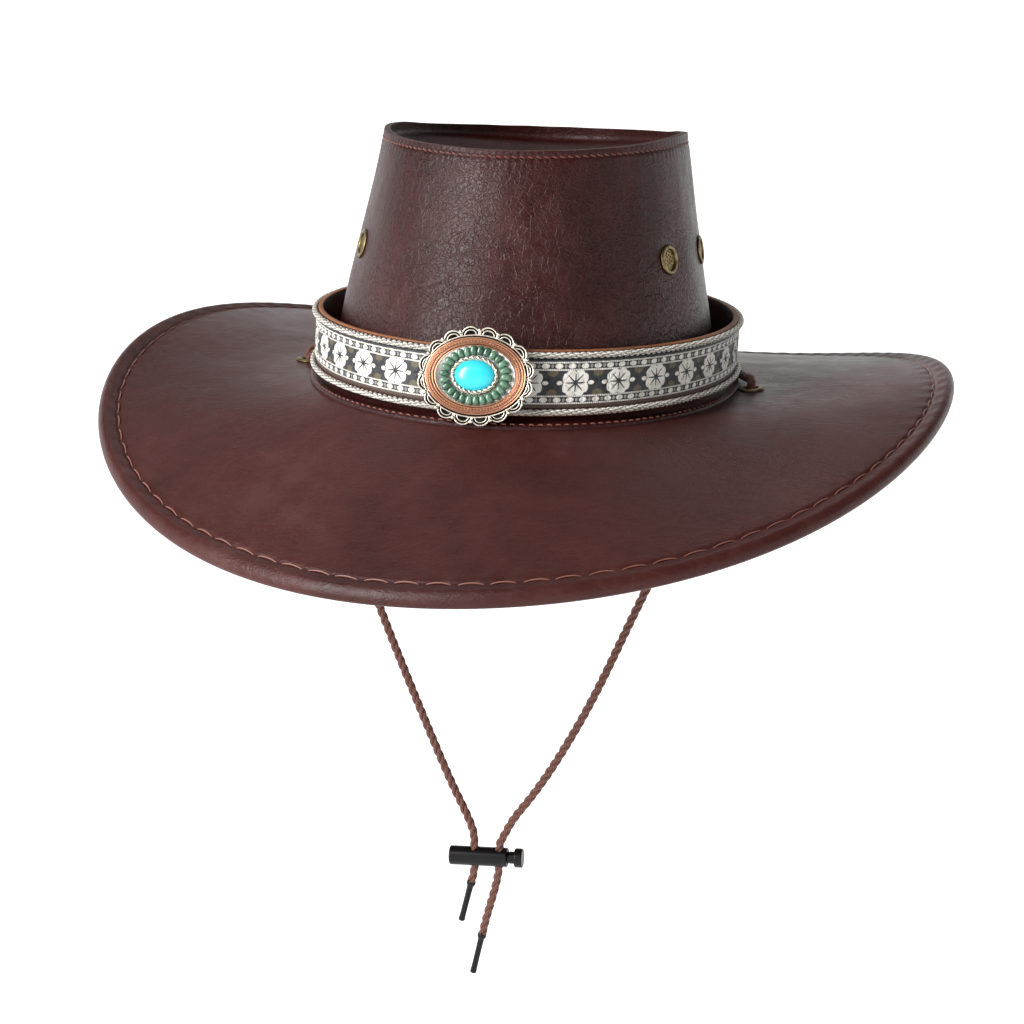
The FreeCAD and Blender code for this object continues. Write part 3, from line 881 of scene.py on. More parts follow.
    def finish(self, colour: object, roughness: Value, height: Signal | None = None, depth: float = 0.1,
               **constants: object) -> bpy.types.Material:
        """Feeds the shader and returns the material.

        Args:
            colour: base colour, plain or a socket.
            roughness: plain number or signal.
            height: relief of 0 to 1, or None.
            depth: depth of the relief, in millimetres.
            **constants: shader inputs that are the same all over, by name with _ for a space.

        Returns:
            The material.
        """
        self.feed(self.shader.inputs["Base Color"], colour)
        self.feed(self.shader.inputs["Roughness"], roughness)
        for name, value in constants.items():
            self.feed(self.shader.inputs[name.replace("_", " ")], value)
        if height is not None:
            bump = self.node("ShaderNodeBump", {"Height": height, "Distance": depth * MM, "Strength": 1.0})
            self.feed(self.shader.inputs["Normal"], bump.outputs[0])
        return self.material


# ---- finishes ----

@dataclass(frozen=True)
class Leather:
    """Oiled leather: cloudy colour, fine grain, and creases round cells of uneven size; the crease lines are
    painted lighter, a painted highlight on the creases.
    """

    name: str
    deep: Colour
    body: Colour
    pale_tone: Colour
    crease: float = 5.0
    crease_show: float = 0.5
    run: tuple[float, float, float] = (1.0, 1.0, 1.0)
    roughness: float = 0.42
    depth: float = 0.12
    shine: float = 0.24

    def made(self) -> bpy.types.Material:
        """The material."""
        w = Wiring(self.name)
        plain = w.place()
        drawn = w.warped(w.place(self.run), 120.0, 0.004)
        large = 1.0 - soft(w.cells(drawn, 1000 / self.crease), 0.0, 0.07)
        finer = w.warped(w.place(self.run), 300.0, 0.003)
        small = 1.0 - soft(w.cells(finer, 2300 / self.crease), 0.0, 0.09)
        patch = soft(w.noise(plain, 13.0, 3.0), 0.42, 0.62)
        lines = calc("MAXIMUM", large, small * 0.7) * (0.45 + 0.55 * patch)
        pores = w.cells(w.warped(plain, 900.0, 0.0008), 1300.0, False)
        grain = w.noise(plain, 2600.0, 4.0)
        cloud = w.noise(plain, 10.0, 5.0, 0.6, 0.4)
        fine = w.noise(plain, 90.0, 4.0)
        base = w.ramp(cloud * 0.7 + fine * 0.3, [(0.30, self.deep), (0.52, self.body), (0.74, self.pale_tone)])
        # painted highlight: the crease lines are mixed towards the ramp's palest colour, a highlight painted on
        # the raised creases; that colour also tops the random cloudy tone
        colour = w.mix(lines * self.crease_show * 0.22, base, self.pale_tone)
        rough = self.roughness - 0.10 + 0.22 * fine + 0.06 * lines
        height = lines * self.crease_show * 0.55 + 0.22 * grain + 0.22 * pores + 0.5 * w.noise(plain, 260.0, 3.0)
        return w.finish(colour, rough, height, self.depth, Specular_IOR_Level=self.shine)


@dataclass(frozen=True)
class CutEdge:
    """Raw cut edge of leather, dyed orange-brown: fibres along the edge."""

    name: str
    dark: Colour = (0.13, 0.040, 0.014)
    light: Colour = (0.34, 0.125, 0.045)

    def made(self) -> bpy.types.Material:
        """The material."""
        w = Wiring(self.name)
        fibre = w.noise(w.place((1.0, 1.0, 4.0)), 700.0, 5.0, 0.7)
        cloud = w.noise(w.place(), 60.0, 3.0)
        colour = w.ramp(fibre * 0.6 + cloud * 0.4, [(0.32, self.dark), (0.62, self.light)])
        return w.finish(colour, 0.62, fibre, 0.12)


@dataclass(frozen=True)
class Metal:
    """Worn metal: bright where it is rubbed, dull and dark where the patina stays."""

    name: str
    bright: Colour
    dull: Colour
    share: float
    roughness: float
    depth: float = 0.03

    def made(self) -> bpy.types.Material:
        """The material."""
        w = Wiring(self.name)
        plain = w.place()
        cloud = w.noise(plain, 420.0, 4.0, 0.65)
        speck = w.noise(plain, 2600.0, 3.0)
        pale_tone = soft(cloud * 0.7 + speck * 0.3, self.share - 0.14, self.share + 0.10)
        colour = w.mix(pale_tone, self.dull, self.bright)
        return w.finish(colour, self.roughness + 0.22 * (1.0 - pale_tone) + 0.08 * speck, speck + cloud, self.depth,
                        Metallic=1.0)


@dataclass(frozen=True)
class Yarn:
    """Spun yarn: fibres wind round each strand, read from the strand's own map; the colour darkens where the fibre
    relief is low, painted shade between the fibres.
    """

    name: str
    dark: Colour
    light: Colour
    girth: float
    fibre: float
    roughness: float = 0.6
    depth: float = 0.12
    gloss: float = 0.0

    def made(self) -> bpy.types.Material:
        """The material."""
        w = Wiring(self.name)
        across, along = w.flat()
        wind = along * (TAU / (self.fibre * MM)) + across * (3 * TAU / (self.girth * MM))
        rough = w.noise(w.place(), 900.0, 4.0)
        thread = calc("SINE", wind + rough * 2.0) * 0.5 + 0.5
        fuzz = w.noise(w.place(), 3000.0, 3.0)
        mixed = thread * 0.45 + rough * 0.4 + fuzz * 0.15
        # painted shade: the ramp goes to its dark colour where the relief is low, between the fibres; the noise in
        # it is the yarn's own random tone
        colour = w.ramp(mixed, [(0.22, self.dark), (0.70, self.light)])
        return w.finish(colour, self.roughness, mixed, self.depth, Metallic=self.gloss,
                        Sheen_Weight=0.25, Sheen_Roughness=0.5)


@dataclass(frozen=True)
class Cloth:
    """Plain woven cloth: two sets of threads that pass over and under each other."""

    name: str
    dark: Colour
    light: Colour
    thread: float
    roughness: float

    def made(self) -> bpy.types.Material:
        """The material."""
        w = Wiring(self.name)
        across, along = w.flat()
        step = math.pi / (self.thread * MM)
        weave = calc("SINE", across * step) * calc("SINE", along * step) * 0.5 + 0.5
        cloud = w.noise(w.place(), 35.0, 4.0)
        colour = w.ramp(weave * 0.4 + cloud * 0.6, [(0.25, self.dark), (0.75, self.light)])
        return w.finish(colour, self.roughness, weave, 0.08, Sheen_Weight=0.3, Sheen_Roughness=0.4)


@dataclass(frozen=True)
class Gloss:
    """Moulded plastic, glass or polished stone: clouds and veins under a clear surface."""

    name: str
    dark: Colour
    light: Colour
    roughness: float
    lumps: float = 300.0
    vein: Colour | None = None
    coat: float = 0.0
    by_tone: float = 0.0
    shine: float = 0.5

    def made(self) -> bpy.types.Material:
        """The material."""
        w = Wiring(self.name)
        cloud = w.noise(w.place(), self.lumps, 4.0, 0.6, 0.6)
        level = cloud * (1.0 - self.by_tone) + w.tone() * self.by_tone
        colour = w.ramp(level, [(0.32, self.dark), (0.66, self.light)])
        if self.vein is not None:
            lines = 1.0 - soft(w.cells(w.warped(w.place(), 260.0, 0.004), 210.0), 0.0, 0.035)
            shown = soft(w.noise(w.place(), 150.0, 2.0), 0.50, 0.62)
            colour = w.mix(lines * shown * 0.6, colour, self.vein)
        scuff = w.noise(w.place(), 1800.0, 3.0)
        return w.finish(colour, self.roughness + 0.08 * scuff, scuff, 0.012, Coat_Weight=self.coat,
                        Coat_Roughness=0.06, Specular_IOR_Level=self.shine)


@dataclass(frozen=True)
class Board:
    """Pressed fibre board of the brim's stiffener, and other plain fibrous stuff."""

    name: str
    dark: Colour
    light: Colour

    def made(self) -> bpy.types.Material:
        """The material."""
        w = Wiring(self.name)
        fibre = w.noise(w.place(), 500.0, 5.0, 0.7, 1.5)
        return w.finish(w.ramp(fibre, [(0.3, self.dark), (0.7, self.light)]), 0.85, fibre, 0.1)


@dataclass(frozen=True)
class WovenBand:
    """The hatband's ribbon: flowers between dark bow-ties, with a row of dots above and below.

    The same formulas, in millimetres along and across, give the relief of the mesh and the colours.
    """

    name: str = "ribbon weave"
    flowers: int = 33
    dots: int = 115
    middle: float = 10.4
    white: Colour = (0.80, 0.77, 0.71)
    grey: Colour = (0.30, 0.275, 0.245)
    dark: Colour = (0.020, 0.021, 0.025)
    olive: Colour = (0.115, 0.090, 0.050)
    brown: Colour = (0.060, 0.028, 0.018)

    def parts(self, along: Value, across: Value, length: float) -> dict[str, Value]:
        """How strongly each part of the pattern shows, 0 to 1, at a point of the ribbon.

        A flower is a rounded square whose rim swells eight times, less eight thin rays; dots are ovals;
        lines and the stripe are bands of the distance across.

        Args:
            along: distance along the ribbon, in millimetres.
            across: distance up from its lower edge, in millimetres.
            length: the whole length of the ribbon, in millimetres.

        Returns:
            The parts by name.
        """
        pitch, step = length / self.flowers, length / self.dots
        x = (calc("FRACT", along / pitch) - 0.5) * pitch
        y = across - self.middle
        high = calc("ABSOLUTE", y)
        far = calc("SQRT", x * x + y * y)
        boxed = calc("POWER", x * x * x * x * 0.7 + y * y * y * y + 0.0001, 0.25)
        angle = calc("ARCTAN2", y, x)
        rim = 4.45 + 0.80 * calc("POWER", calc("ABSOLUTE", calc("SINE", angle * 4.0)) + 0.001, 0.6)
        off = calc("ABSOLUTE", calc("FRACT", angle * (4 / math.pi) + 0.5) - 0.5) * far * (math.pi / 4)
        ray = soft(off + far * 0.055, 0.33, 0.48)
        petals = soft(rim - boxed, -0.10, 0.14)
        flower = petals * calc("MAXIMUM", ray, soft(boxed, 3.5, 3.9))
        tie = calc("ABSOLUTE", calc("ABSOLUTE", x) - pitch / 2)
        pair = self.oval(tie - 3.05, y, 1.35, 0.95)
        heart = self.oval(tie, high - 4.1, 2.3, 1.5)
        bead = (calc("FRACT", along / step) - 0.5) * step
        row = self.oval(bead, high - 6.9, 1.75, 1.10)
        between = self.oval(calc("ABSOLUTE", bead) - step / 2, high - 6.9, 0.60, 0.85)
        dash = 0.55 + 0.45 * soft(calc("SINE", along * (TAU / 0.95)), -0.3, 0.3)
        line = soft(0.36 - calc("ABSOLUTE", high - 5.36), -0.06, 0.10) * dash
        lower = soft(0.34 - calc("ABSOLUTE", high - 8.35), -0.06, 0.10) * dash
        return {"flower": flower, "pair": pair, "heart": heart, "row": row, "between": between,
                "line": calc("MAXIMUM", line, lower), "stripe": soft(-8.65 - y, -0.08, 0.08),
                "petals": petals, "far": far}

    @staticmethod
    def oval(x: Value, y: Value, a: float, b: float) -> Value:
        """1 inside an oval of half width a and half height b, falling to 0 at its edge."""
        reach = calc("SQRT", (x / a) * (x / a) + (y / b) * (y / b) + 0.0001)
        return soft(1.0 - reach, -0.04, 0.12)

    def relief(self, along: Array, across: Array, length: float) -> Array:
        """Height of the weave above its ground, in millimetres.

        Args:
            along: distance along the ribbon.
            across: distance up from its lower edge.
            length: the whole length.

        Returns:
            The heights.
        """
        p = self.parts(along, across, length)
        petal = 0.34 * p["flower"] * (1.1 - 0.05 * p["far"])
        return petal + 0.36 * p["pair"] + 0.34 * p["row"] + 0.16 * p["between"] + 0.2 * p["line"]

    def made(self, length: float) -> bpy.types.Material:
        """The material of a ribbon of that length in millimetres."""
        w = Wiring(self.name)
        u, v = w.flat()
        along, across = u / MM, v / MM
        p = self.parts(along, across, length)
        colour = w.mix(p["stripe"], self.dark, self.brown)
        colour = w.mix(p["heart"] * 0.9, colour, self.olive)
        colour = w.mix(p["between"] * 0.8, colour, self.grey)
        for key in ("line", "flower", "pair", "row"):
            colour = w.mix(p[key], colour, self.white)
        rib = calc("SINE", along * (TAU / 0.5)) * calc("SINE", across * (TAU / 0.62)) * 0.5 + 0.5
        soil = w.noise(w.place(), 260.0, 5.0, 0.65)
        colour = w.mix(soft(soil, 0.50, 0.68) * 0.4, colour, self.grey, "MULTIPLY")
        colour = w.mix(0.22 * rib, colour, (0.25, 0.24, 0.23), "MULTIPLY")
        raised = calc("MAXIMUM", calc("MAXIMUM", p["flower"], p["pair"]), calc("MAXIMUM", p["row"], p["line"]))
        return w.finish(colour, 0.55, raised * 0.6 + rib * 0.25 + soil * 0.3, 0.22,
                        Sheen_Weight=0.2, Sheen_Roughness=0.4)


class Finish(Enum):
    """The hat's finishes."""

    CROWN = Leather("crown leather", (0.012, 0.0016, 0.0012), (0.028, 0.0040, 0.0029), (0.070, 0.024, 0.021),
                    crease=4.8, crease_show=1.0, roughness=0.36, depth=0.32, shine=0.24)
    BRIM = Leather("brim leather", (0.028, 0.0062, 0.0050), (0.050, 0.0125, 0.0102), (0.086, 0.033, 0.029),
                   crease=9.0, crease_show=0.70, run=(0.45, 1.2, 1.0), roughness=0.37, depth=0.22, shine=0.22)
    UNDER = Leather("under-brim leather", (0.034, 0.0095, 0.0080), (0.055, 0.0160, 0.0130), (0.085, 0.034, 0.028),
                    crease=8.0, crease_show=0.35, roughness=0.55, depth=0.14, shine=0.2)
    INNER = Leather("sweatband leather", (0.030, 0.012, 0.008), (0.060, 0.024, 0.015), (0.105, 0.048, 0.030),
                    crease=4.0, crease_show=0.3, roughness=0.5, depth=0.10)
    BAND = Leather("hatband leather", (0.022, 0.007, 0.004), (0.052, 0.018, 0.009), (0.12, 0.045, 0.022),
                   crease=6.0, crease_show=0.3, roughness=0.55, depth=0.12)
    EDGE = CutEdge("cut edge")
    RAW_RIM = CutEdge("raw rim", (0.020, 0.008, 0.006), (0.075, 0.032, 0.024))
    THREAD = Yarn("stitching thread", (0.10, 0.026, 0.016), (0.30, 0.095, 0.060), 2.2, 0.9, 0.5, 0.06)
    SEAM_THREAD = Yarn("crown thread", (0.055, 0.010, 0.006), (0.165, 0.034, 0.019), 2.0, 0.9, 0.5, 0.06)
    LINING = Cloth("lining cloth", (0.010, 0.007, 0.006), (0.030, 0.020, 0.017), 0.7, 0.5)
    BOARD = Board("stiffener board", (0.030, 0.018, 0.012), (0.085, 0.052, 0.034))
    BRASS = Metal("antique brass", (0.245, 0.185, 0.085), (0.060, 0.045, 0.022), 0.45, 0.34)
    STEEL = Metal("steel", (0.48, 0.47, 0.45), (0.16, 0.155, 0.15), 0.42, 0.34)
    SILVER = Metal("antique silver", (0.78, 0.72, 0.62), (0.16, 0.135, 0.105), 0.42, 0.26)
    TARNISH = Metal("tarnished silver", (0.030, 0.024, 0.020), (0.006, 0.005, 0.0045), 0.55, 0.50)
    MIRROR = Metal("bright silver", (0.95, 0.94, 0.91), (0.80, 0.78, 0.75), 0.25, 0.20, 0.006)
    COPPER = Metal("copper", (0.066, 0.028, 0.016), (0.012, 0.005, 0.004), 0.50, 0.40)
    BRAID = Yarn("silver braid", (0.055, 0.047, 0.038), (0.72, 0.68, 0.61), 4.2, 2.4, 0.42, 0.10, 0.1)
    CORD = Yarn("chin cord yarn", (0.009, 0.0018, 0.0010), (0.165, 0.040, 0.017), 6.1, 1.3, 0.62, 0.16)
    BEADS = Gloss("green beads", (0.022, 0.075, 0.042), (0.095, 0.205, 0.125), 0.24, 900.0, coat=0.4, by_tone=0.45)
    TURQUOISE = Gloss("turquoise", (0.0, 0.40, 0.50), (0.10, 0.62, 0.67), 0.18, 130.0,
                      vein=(0.02, 0.22, 0.25), coat=0.5)
    PLASTIC = Gloss("black plastic", (0.002, 0.002, 0.0025), (0.005, 0.0047, 0.0045), 0.26, 90.0, shine=0.22)

    def material(self) -> bpy.types.Material:
        """The finish's material, made once."""
        found = bpy.data.materials.get(self.value.name)
        return found if found else self.value.made()


def dress_nodes(finish: Finish, *names: str) -> None:
    """Gives a finish to CAD nodes that stay as they are.

    Args:
        finish: what they get.
        *names: the nodes.
    """
    for name in names:
        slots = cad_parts[name].material_slots
        for slot in slots:
            slot.link = "OBJECT"
            slot.material = finish.material()
        if not slots:
            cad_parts[name].data.materials.append(finish.material())


# ---- studio ----

@dataclass
class Studio:
    """Camera, soft lights and a plain pale floor."""

    azimuth: float = math.radians(10.197)
    elevation: float = math.radians(14.265)
    roll: float = math.radians(2.285)
    distance: float = 0.9049
    aim_right: float = -0.004283
    aim_up: float = -0.065434
    lens: float = 68.02
    floor_gap: float = 0.06

    def camera(self) -> None:
        """Camera on a sphere about its aim point, rolled a little."""
        a, e, r = self.azimuth, self.elevation, self.roll
        back = Vector((math.sin(a) * math.cos(e), -math.cos(a) * math.cos(e), math.sin(e)))
        level = Vector((math.cos(a), math.sin(a), 0.0))
        upright = back.cross(level)
        right = level * math.cos(r) + upright * math.sin(r)
        up = upright * math.cos(r) - level * math.sin(r)
        data = bpy.data.cameras.new("camera")
        data.lens, data.sensor_width = self.lens, 36.0
        data.clip_start, data.clip_end = 0.01, 100.0
        camera = linked("camera", data)
        turned = Matrix((right, up, back)).transposed().to_4x4()
        where = Vector((0.0, 0.0, self.aim_up)) + level * self.aim_right + back * self.distance
        camera.matrix_world = Matrix.Translation(where) @ turned
        bpy.context.scene.camera = camera

    def light(self, name: str, where: Spot, aim: Spot, size: tuple[float, float], power: float) -> None:
        """One soft white box that faces its aim point.

        Args:
            name: name of the lamp.
            where: its middle, in metres.
            aim: point that it faces, in metres.
            size: its width and height, in metres.
            power: its power, in watts.
        """
        data = bpy.data.lights.new(name, "AREA")
        data.shape, data.size, data.size_y = "RECTANGLE", *size
        data.energy = power
        lamp = linked(name, data)
        lamp.location = where
        lamp.rotation_mode = "QUATERNION"
        lamp.rotation_quaternion = (Vector(aim) - Vector(where)).to_track_quat("-Z", "Y")

    def build(self) -> None:
        """Lights, floor and sky."""
        self.light("key", (-0.86, -1.02, 0.62), (-0.02, 0.0, 0.03), (0.34, 0.95), 31.0)
        self.light("front", (-0.25, -1.25, 1.25), (0.0, -0.08, 0.0), (0.8, 0.5), 1.0)
        self.light("overhead", (-0.35, 0.75, 1.35), (0.0, 0.0, 0.0), (1.5, 0.8), 5.5)
        world = bpy.data.worlds.new("sky")
        bpy.context.scene.world = world
        world.use_nodes = True
        world.node_tree.nodes["Background"].inputs["Color"].default_value = (1.0, 1.0, 1.0, 1.0)
        world.node_tree.nodes["Background"].inputs["Strength"].default_value = 0.05
        self.sweep()
        bpy.context.scene.view_settings.view_transform = "Standard"

    def sweep(self) -> None:
        """Pale floor that curves up into a wall all round: rings of a radius and a height."""
        bend = np.linspace(0, math.pi / 2, 9)
        radius = np.concatenate([[0.0, 1.0, 2.0, 3.0], 3.4 + 0.6 * np.sin(bend), [4.0]])
        rise = np.concatenate([np.zeros(4), 0.6 - 0.6 * np.cos(bend), [1.7]]) + CAD_BOX[0][2] - self.floor_gap
        angle = turns(96)[None]
        points = np.stack(np.broadcast_arrays(radius[:, None] * np.cos(angle), radius[:, None] * np.sin(angle),
                                              rise[:, None]), -1)
        ring, column = np.meshgrid(np.arange(len(radius) - 1), np.arange(96), indexing="ij")
        ahead = (column + 1) % 96
        quads = np.stack([ring * 96 + column, (ring + 1) * 96 + column, (ring + 1) * 96 + ahead,
                          ring * 96 + ahead], -1)
        mesh = bpy.data.meshes.new("floor")
        mesh.from_pydata(points.reshape(-1, 3).tolist(), [], quads.reshape(-1, 4).tolist())
        mesh.shade_smooth()
        floor = linked("floor", mesh)
        w = Wiring("pale floor")
        mesh.materials.append(w.finish((0.6, 0.6, 0.6), 0.95, Emission_Color=(1.0, 1.0, 1.0),
                                       Emission_Strength=0.92))


# ---- chin cord and its lock ----

@dataclass
class ChinCord:
    """The twisted cord: two free ends through the lock, and the run behind the crown."""

    rope: Rope = field(default_factory=lambda: Rope(3, 1.0, 1.12, 13.8, 12))
    diameter: float = 4.2
    spacing: float = 0.6
    aglet_radius: float = 1.5
    left: tuple = ((-0.103, -0.006), (-0.098, -0.029), (-0.084, -0.071), (-0.0671, -0.1157),
                   (-0.0469, -0.1623), (-0.0291, -0.2016), (-0.0203, -0.218), (-0.01638, -0.227),
                   (-0.01593, -0.2334), (-0.0152, -0.2438), (-0.01578, -0.249), (-0.0168, -0.254))
    right: tuple = ((0.103, -0.006), (0.0925, -0.028), (0.0725, -0.068), (0.0547, -0.112),
                    (0.0388, -0.1532), (0.0232, -0.1854), (0.012, -0.2048), (0.0029, -0.2178),
                    (-0.0014, -0.2272), (-0.00378, -0.2324), (-0.00305, -0.2428), (-0.0039, -0.251),
                    (-0.006, -0.261), (-0.0085, -0.2711), (-0.0104, -0.2814))
    plane: float = -0.003
    lock_place: Place = field(default_factory=lambda: Place.at(
        (-13.4, -3.0, -239.6), (0.0, 1.0, 0.0), (math.cos(math.radians(4)), 0.0, math.sin(math.radians(4)))))
    spring_start: float = -12.8
    spring_end: float = -5.7
    tips: dict = field(default_factory=lambda: {"left": (-21.0, -3.0, -274.6), "right": (-14.2, -3.0, -302.1)})
    behind: tuple = ((-0.103, -0.003, -0.0070), (-0.103, -0.003, 0.0019), (-0.1024, 0.0006, 0.0052),
                     (-0.1002, 0.0086, 0.0041), (-0.095, 0.0228, 0.0037), (-0.089, 0.044, 0.0037),
                     (-0.0772, 0.0702, 0.0037), (-0.0596, 0.0938, 0.0037), (-0.0374, 0.1109, 0.0037),
                     (-0.0127, 0.1197, 0.0037), (0.0127, 0.1197, 0.0037), (0.0374, 0.1109, 0.0037),
                     (0.0596, 0.0938, 0.0037), (0.0772, 0.0702, 0.0037), (0.089, 0.044, 0.0037),
                     (0.095, 0.0228, 0.0037), (0.1002, 0.0086, 0.0041), (0.1024, 0.0006, 0.0056),
                     (0.103, -0.003, 0.0024), (0.103, -0.003, -0.0070))

    def aglet(self, side: str, top: Array) -> bpy.types.Object:
        """Hard sleeve on a cord's end: a slim barrel with rolled lips and an open tip.

        Args:
            side: left or right.
            top: the cord's last point, in millimetres.

        Returns:
            The sleeve.
        """
        tip = np.array(self.tips[side])
        long = float(np.linalg.norm(tip - top))
        r = self.aglet_radius
        outline = np.array([(r + 0.45, -1.2), (r + 0.75, -0.6), (r + 0.75, 0.8), (r + 0.15, 1.8), (r, 4.0),
                            (r * 0.98, long - 3.0), (r * 1.12, long - 0.8), (r * 1.02, long),
                            (r * 0.62, long), (r * 0.60, long - 3.5), (r * 0.60, long - 4.0)])
        cap = np.array([(0.4, long - 4.0)])
        line = np.vstack([[(0.4, -1.2)], eased(outline, 2, False), cap])
        place = Place.at(top, (0.0, 1.0, 0.0), tip - top)
        return Surface().grid(lathe(line, place, 28), False).piece(
            f"aglet_sleeve_{side}", [Finish.PLASTIC], "cord_lock", "black_plastic",
            (f"aglet_{side}",))

    def spring(self) -> bpy.types.Object:
        """Spring of the lock: a wire wound evenly, four turns, with flat closing turns at both ends."""
        run = np.linspace(0, 1, 220)
        wire, radius, press = 0.35, 2.4, 3.0
        long = self.spring_end - self.spring_start - 2 * wire
        rise = self.spring_start + wire + long * np.interp(run, [0, 0.06, 0.94, 1], [0.0, 0.0, 1.0, 1.0])
        line = self.lock_place.put(np.stack([radius * np.cos(TAU * 4 * run), radius * np.sin(TAU * 4 * run),
                                             rise], -1))
        over = np.broadcast_to(self.lock_place.z, line.shape)
        made = Surface().grid(tube_round(line, over, wire, 10, False), False).piece(
            "lock_spring_wire", [Finish.STEEL], "cord_lock", "steel", ("lock_spring",))
        anchor = self.lock_place.origin + self.lock_place.z * self.spring_start
        (anchor * MM).tolist()
        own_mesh(made)
        return made

    def hang(self, side: str) -> None:
        """One side of the hanging cord, from its eyelet through the lock to its aglet.

        Args:
            side: left or right.
        """
        pairs = self.left if side == "left" else self.right
        line = open_spline([(x, self.plane, z) for x, z in pairs], self.spacing)
        surface = Surface()
        over = np.broadcast_to([0.0, 1.0, 0.0], line.shape)
        self.rope.along(surface, line, over, False)
        made = surface.piece(f"chin_cord_rope_{side}", [Finish.CORD], "chin_cord",
                             "chin_cord_twist", (f"chin_cord_{side}", f"cord_tail_{side}"), rides=False)
        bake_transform(made)
        sleeve = self.aglet(side, line[-1])
        pieces = [sleeve] if side == "left" else [sleeve, "lock_barrel", "lock_plunger", self.spring()]

    def build(self) -> None:
        """Both hanging sides, the run behind the crown, and the lock."""
        for side in ("left", "right"):
            self.hang(side)
        line = open_spline(list(self.behind), self.spacing)
        over = np.stack([line[:, 0] / HAT.seam_a ** 2, line[:, 1] / HAT.seam_b ** 2, 0 * line[:, 0]], -1)
        surface = Surface()
        self.rope.along(surface, line, unit(over), False)
        surface.piece("chin_cord_rope_behind", [Finish.CORD], "hat", "chin_cord_twist",
                      ("chin_cord_back",))
        dress_nodes(Finish.PLASTIC, "lock_barrel", "lock_plunger")


# ---- brim ----

@dataclass
class Brim:
    """Two leathers over a stiffener, with a stitched edge rolled round a wire."""

    columns: int = 900
    inside: float = 8.0
    upper: float = 1.2
    lower_top: float = -2.2
    lower_bottom: float = -3.4
    stitch_in: float = 8.7
    seam: Seam = field(default_factory=lambda: Seam(12.2, 0.82, 0.30, 0.30, -0.60, steps=9))
    eyelet_out: float = 8.4
    cord_hole: float = 3.6
    cutter_reach: float = 9.0

    @property
    def stitch_out(self) -> float:
        """Distance of the stitches from the crown seam."""
        return HAT.brim_width - self.stitch_in

    def eyelet_places(self) -> dict[str, Place]:
        """Frames of the two cord eyelets."""
        turn = math.asin(-3.0 / (HAT.seam_b + self.eyelet_out))
        return {"right": HAT.brim_place(turn, self.eyelet_out),
                "left": HAT.brim_place(math.pi - turn, self.eyelet_out)}

    def unevenness(self, turn: Array, out: Array) -> Array:
        """Soft waves of the leather, growing away from the crown and dying at the rolled edge."""
        grow = np.clip(out / 30.0, 0, 1) * np.clip((HAT.brim_width - out) / 14.0, 0, 1)
        return grow * (0.34 * ripple(turn, out, 11, 9, (9, 0.05)) + 0.10 * ripple(turn, out, 12, 9, (34, 0.10)))

    def pull(self, turn: Array, out: Array) -> Array:
        """Dip of the stitched channel and the small puckers that its stitches pull in the leather.

        Args:
            turn: share of the way round, as an angle.
            out: distance from the crown seam.

        Returns:
            The change of height.
        """
        number = round(self.edge_length() / self.seam.pitch)
        wave = np.cos(number * turn)
        scallop = 0.32 * (1 - wave)
        channel = -0.62 * bell(out, self.stitch_out - scallop, 1.0)
        puckers = 0.17 * wave * bell(out, self.stitch_out + 3.4, 3.0)
        inner = 0.12 * wave * bell(out, self.stitch_out - 3.0, 2.6)
        return channel + puckers + inner

    def edge_length(self) -> float:
        """Length of the line of stitches."""
        return line_length(ring_closed(HAT.brim(turns(720), self.stitch_out, 0.0)))

    def turn_by_length(self, count: int) -> Array:
        """Angles at even steps of length along the line of stitches, so that a wave keeps its size.

        Args:
            count: number of steps round the hat.

        Returns:
            The angles.
        """
        fine = np.linspace(0, TAU, 4001)
        reach = reach_along(HAT.brim(fine, self.stitch_out, 0.0))
        return np.interp(np.arange(count) / count * reach[-1], reach, fine)

    def upper_leather(self) -> bpy.types.Object:
        """The top sheet: flat, down into the stitches, up over the wire, round and back under.

        The profile is a closed loop of distance out and height, carried round the hat. Height gets
        the waves and the stitch pull on its outer side only.
        """
        width, roll = HAT.brim_width, HAT.roll
        centre, mid = width - roll, self.lower_bottom / 2
        flat = np.column_stack([np.linspace(-self.inside, self.stitch_out - 6, 26), np.zeros(26)])
        slope = np.linspace(self.stitch_out - 5.4, self.stitch_out + 2.4, 24)
        rise = np.clip((slope - self.stitch_out) / 4.7, 0, 1)
        near = np.column_stack([slope, 1.5 * rise ** 1.1])
        arc = np.linspace(math.radians(110), math.radians(-90), 26)
        over = np.column_stack([centre + roll * np.cos(arc), mid + roll * np.sin(arc)])
        under = np.column_stack([np.linspace(centre - 1.0, self.stitch_out - 3.0, 8),
                                 np.linspace(-5.0, -4.55, 8)])
        back = np.column_stack([np.linspace(self.stitch_out - 3.2, centre - 1.6, 6), np.full(6, -3.46)])
        hollow = np.linspace(math.radians(-70), math.radians(95), 8)
        hidden = np.column_stack([centre + 2.0 * np.cos(hollow), mid + 2.0 * np.sin(hollow)])
        below = np.column_stack([np.linspace(centre - 3.4, -self.inside, 8), np.full(8, -self.upper)])
        profile = np.vstack([flat, near, over, under, back, hidden, below])
        shown = len(flat) + len(near) + 8
        fade = np.zeros(len(profile))
        fade[:shown] = 1.0
        fade[len(flat) + len(near):shown] = np.linspace(1, 0, 8)
        turn = self.turn_by_length(self.columns)
        phase = turns(self.columns)
        out, up = profile[:, 0:1], profile[:, 1:2]
        lift = fade[:, None] * (self.unevenness(turn[None], out) + self.pull(phase[None], out))
        rest = 1 - fade[:, None]
        lift = lift + rest * np.where(np.arange(len(profile))[:, None] > shown,
                                      self.unevenness(turn[None], out) * (out < centre - 3), 0.0)
        points = HAT.brim(turn[None], out, up + lift)
        made = Surface().grid(points, True).piece(
            "brim_upper_leather", [Finish.BRIM], "hat", "brim_leather",
            ("brim_upper", "brim_edge_roll"), sharp=60)
        drilled(made, list(self.eyelet_places().values()), self.cord_hole, self.cutter_reach)
        return made

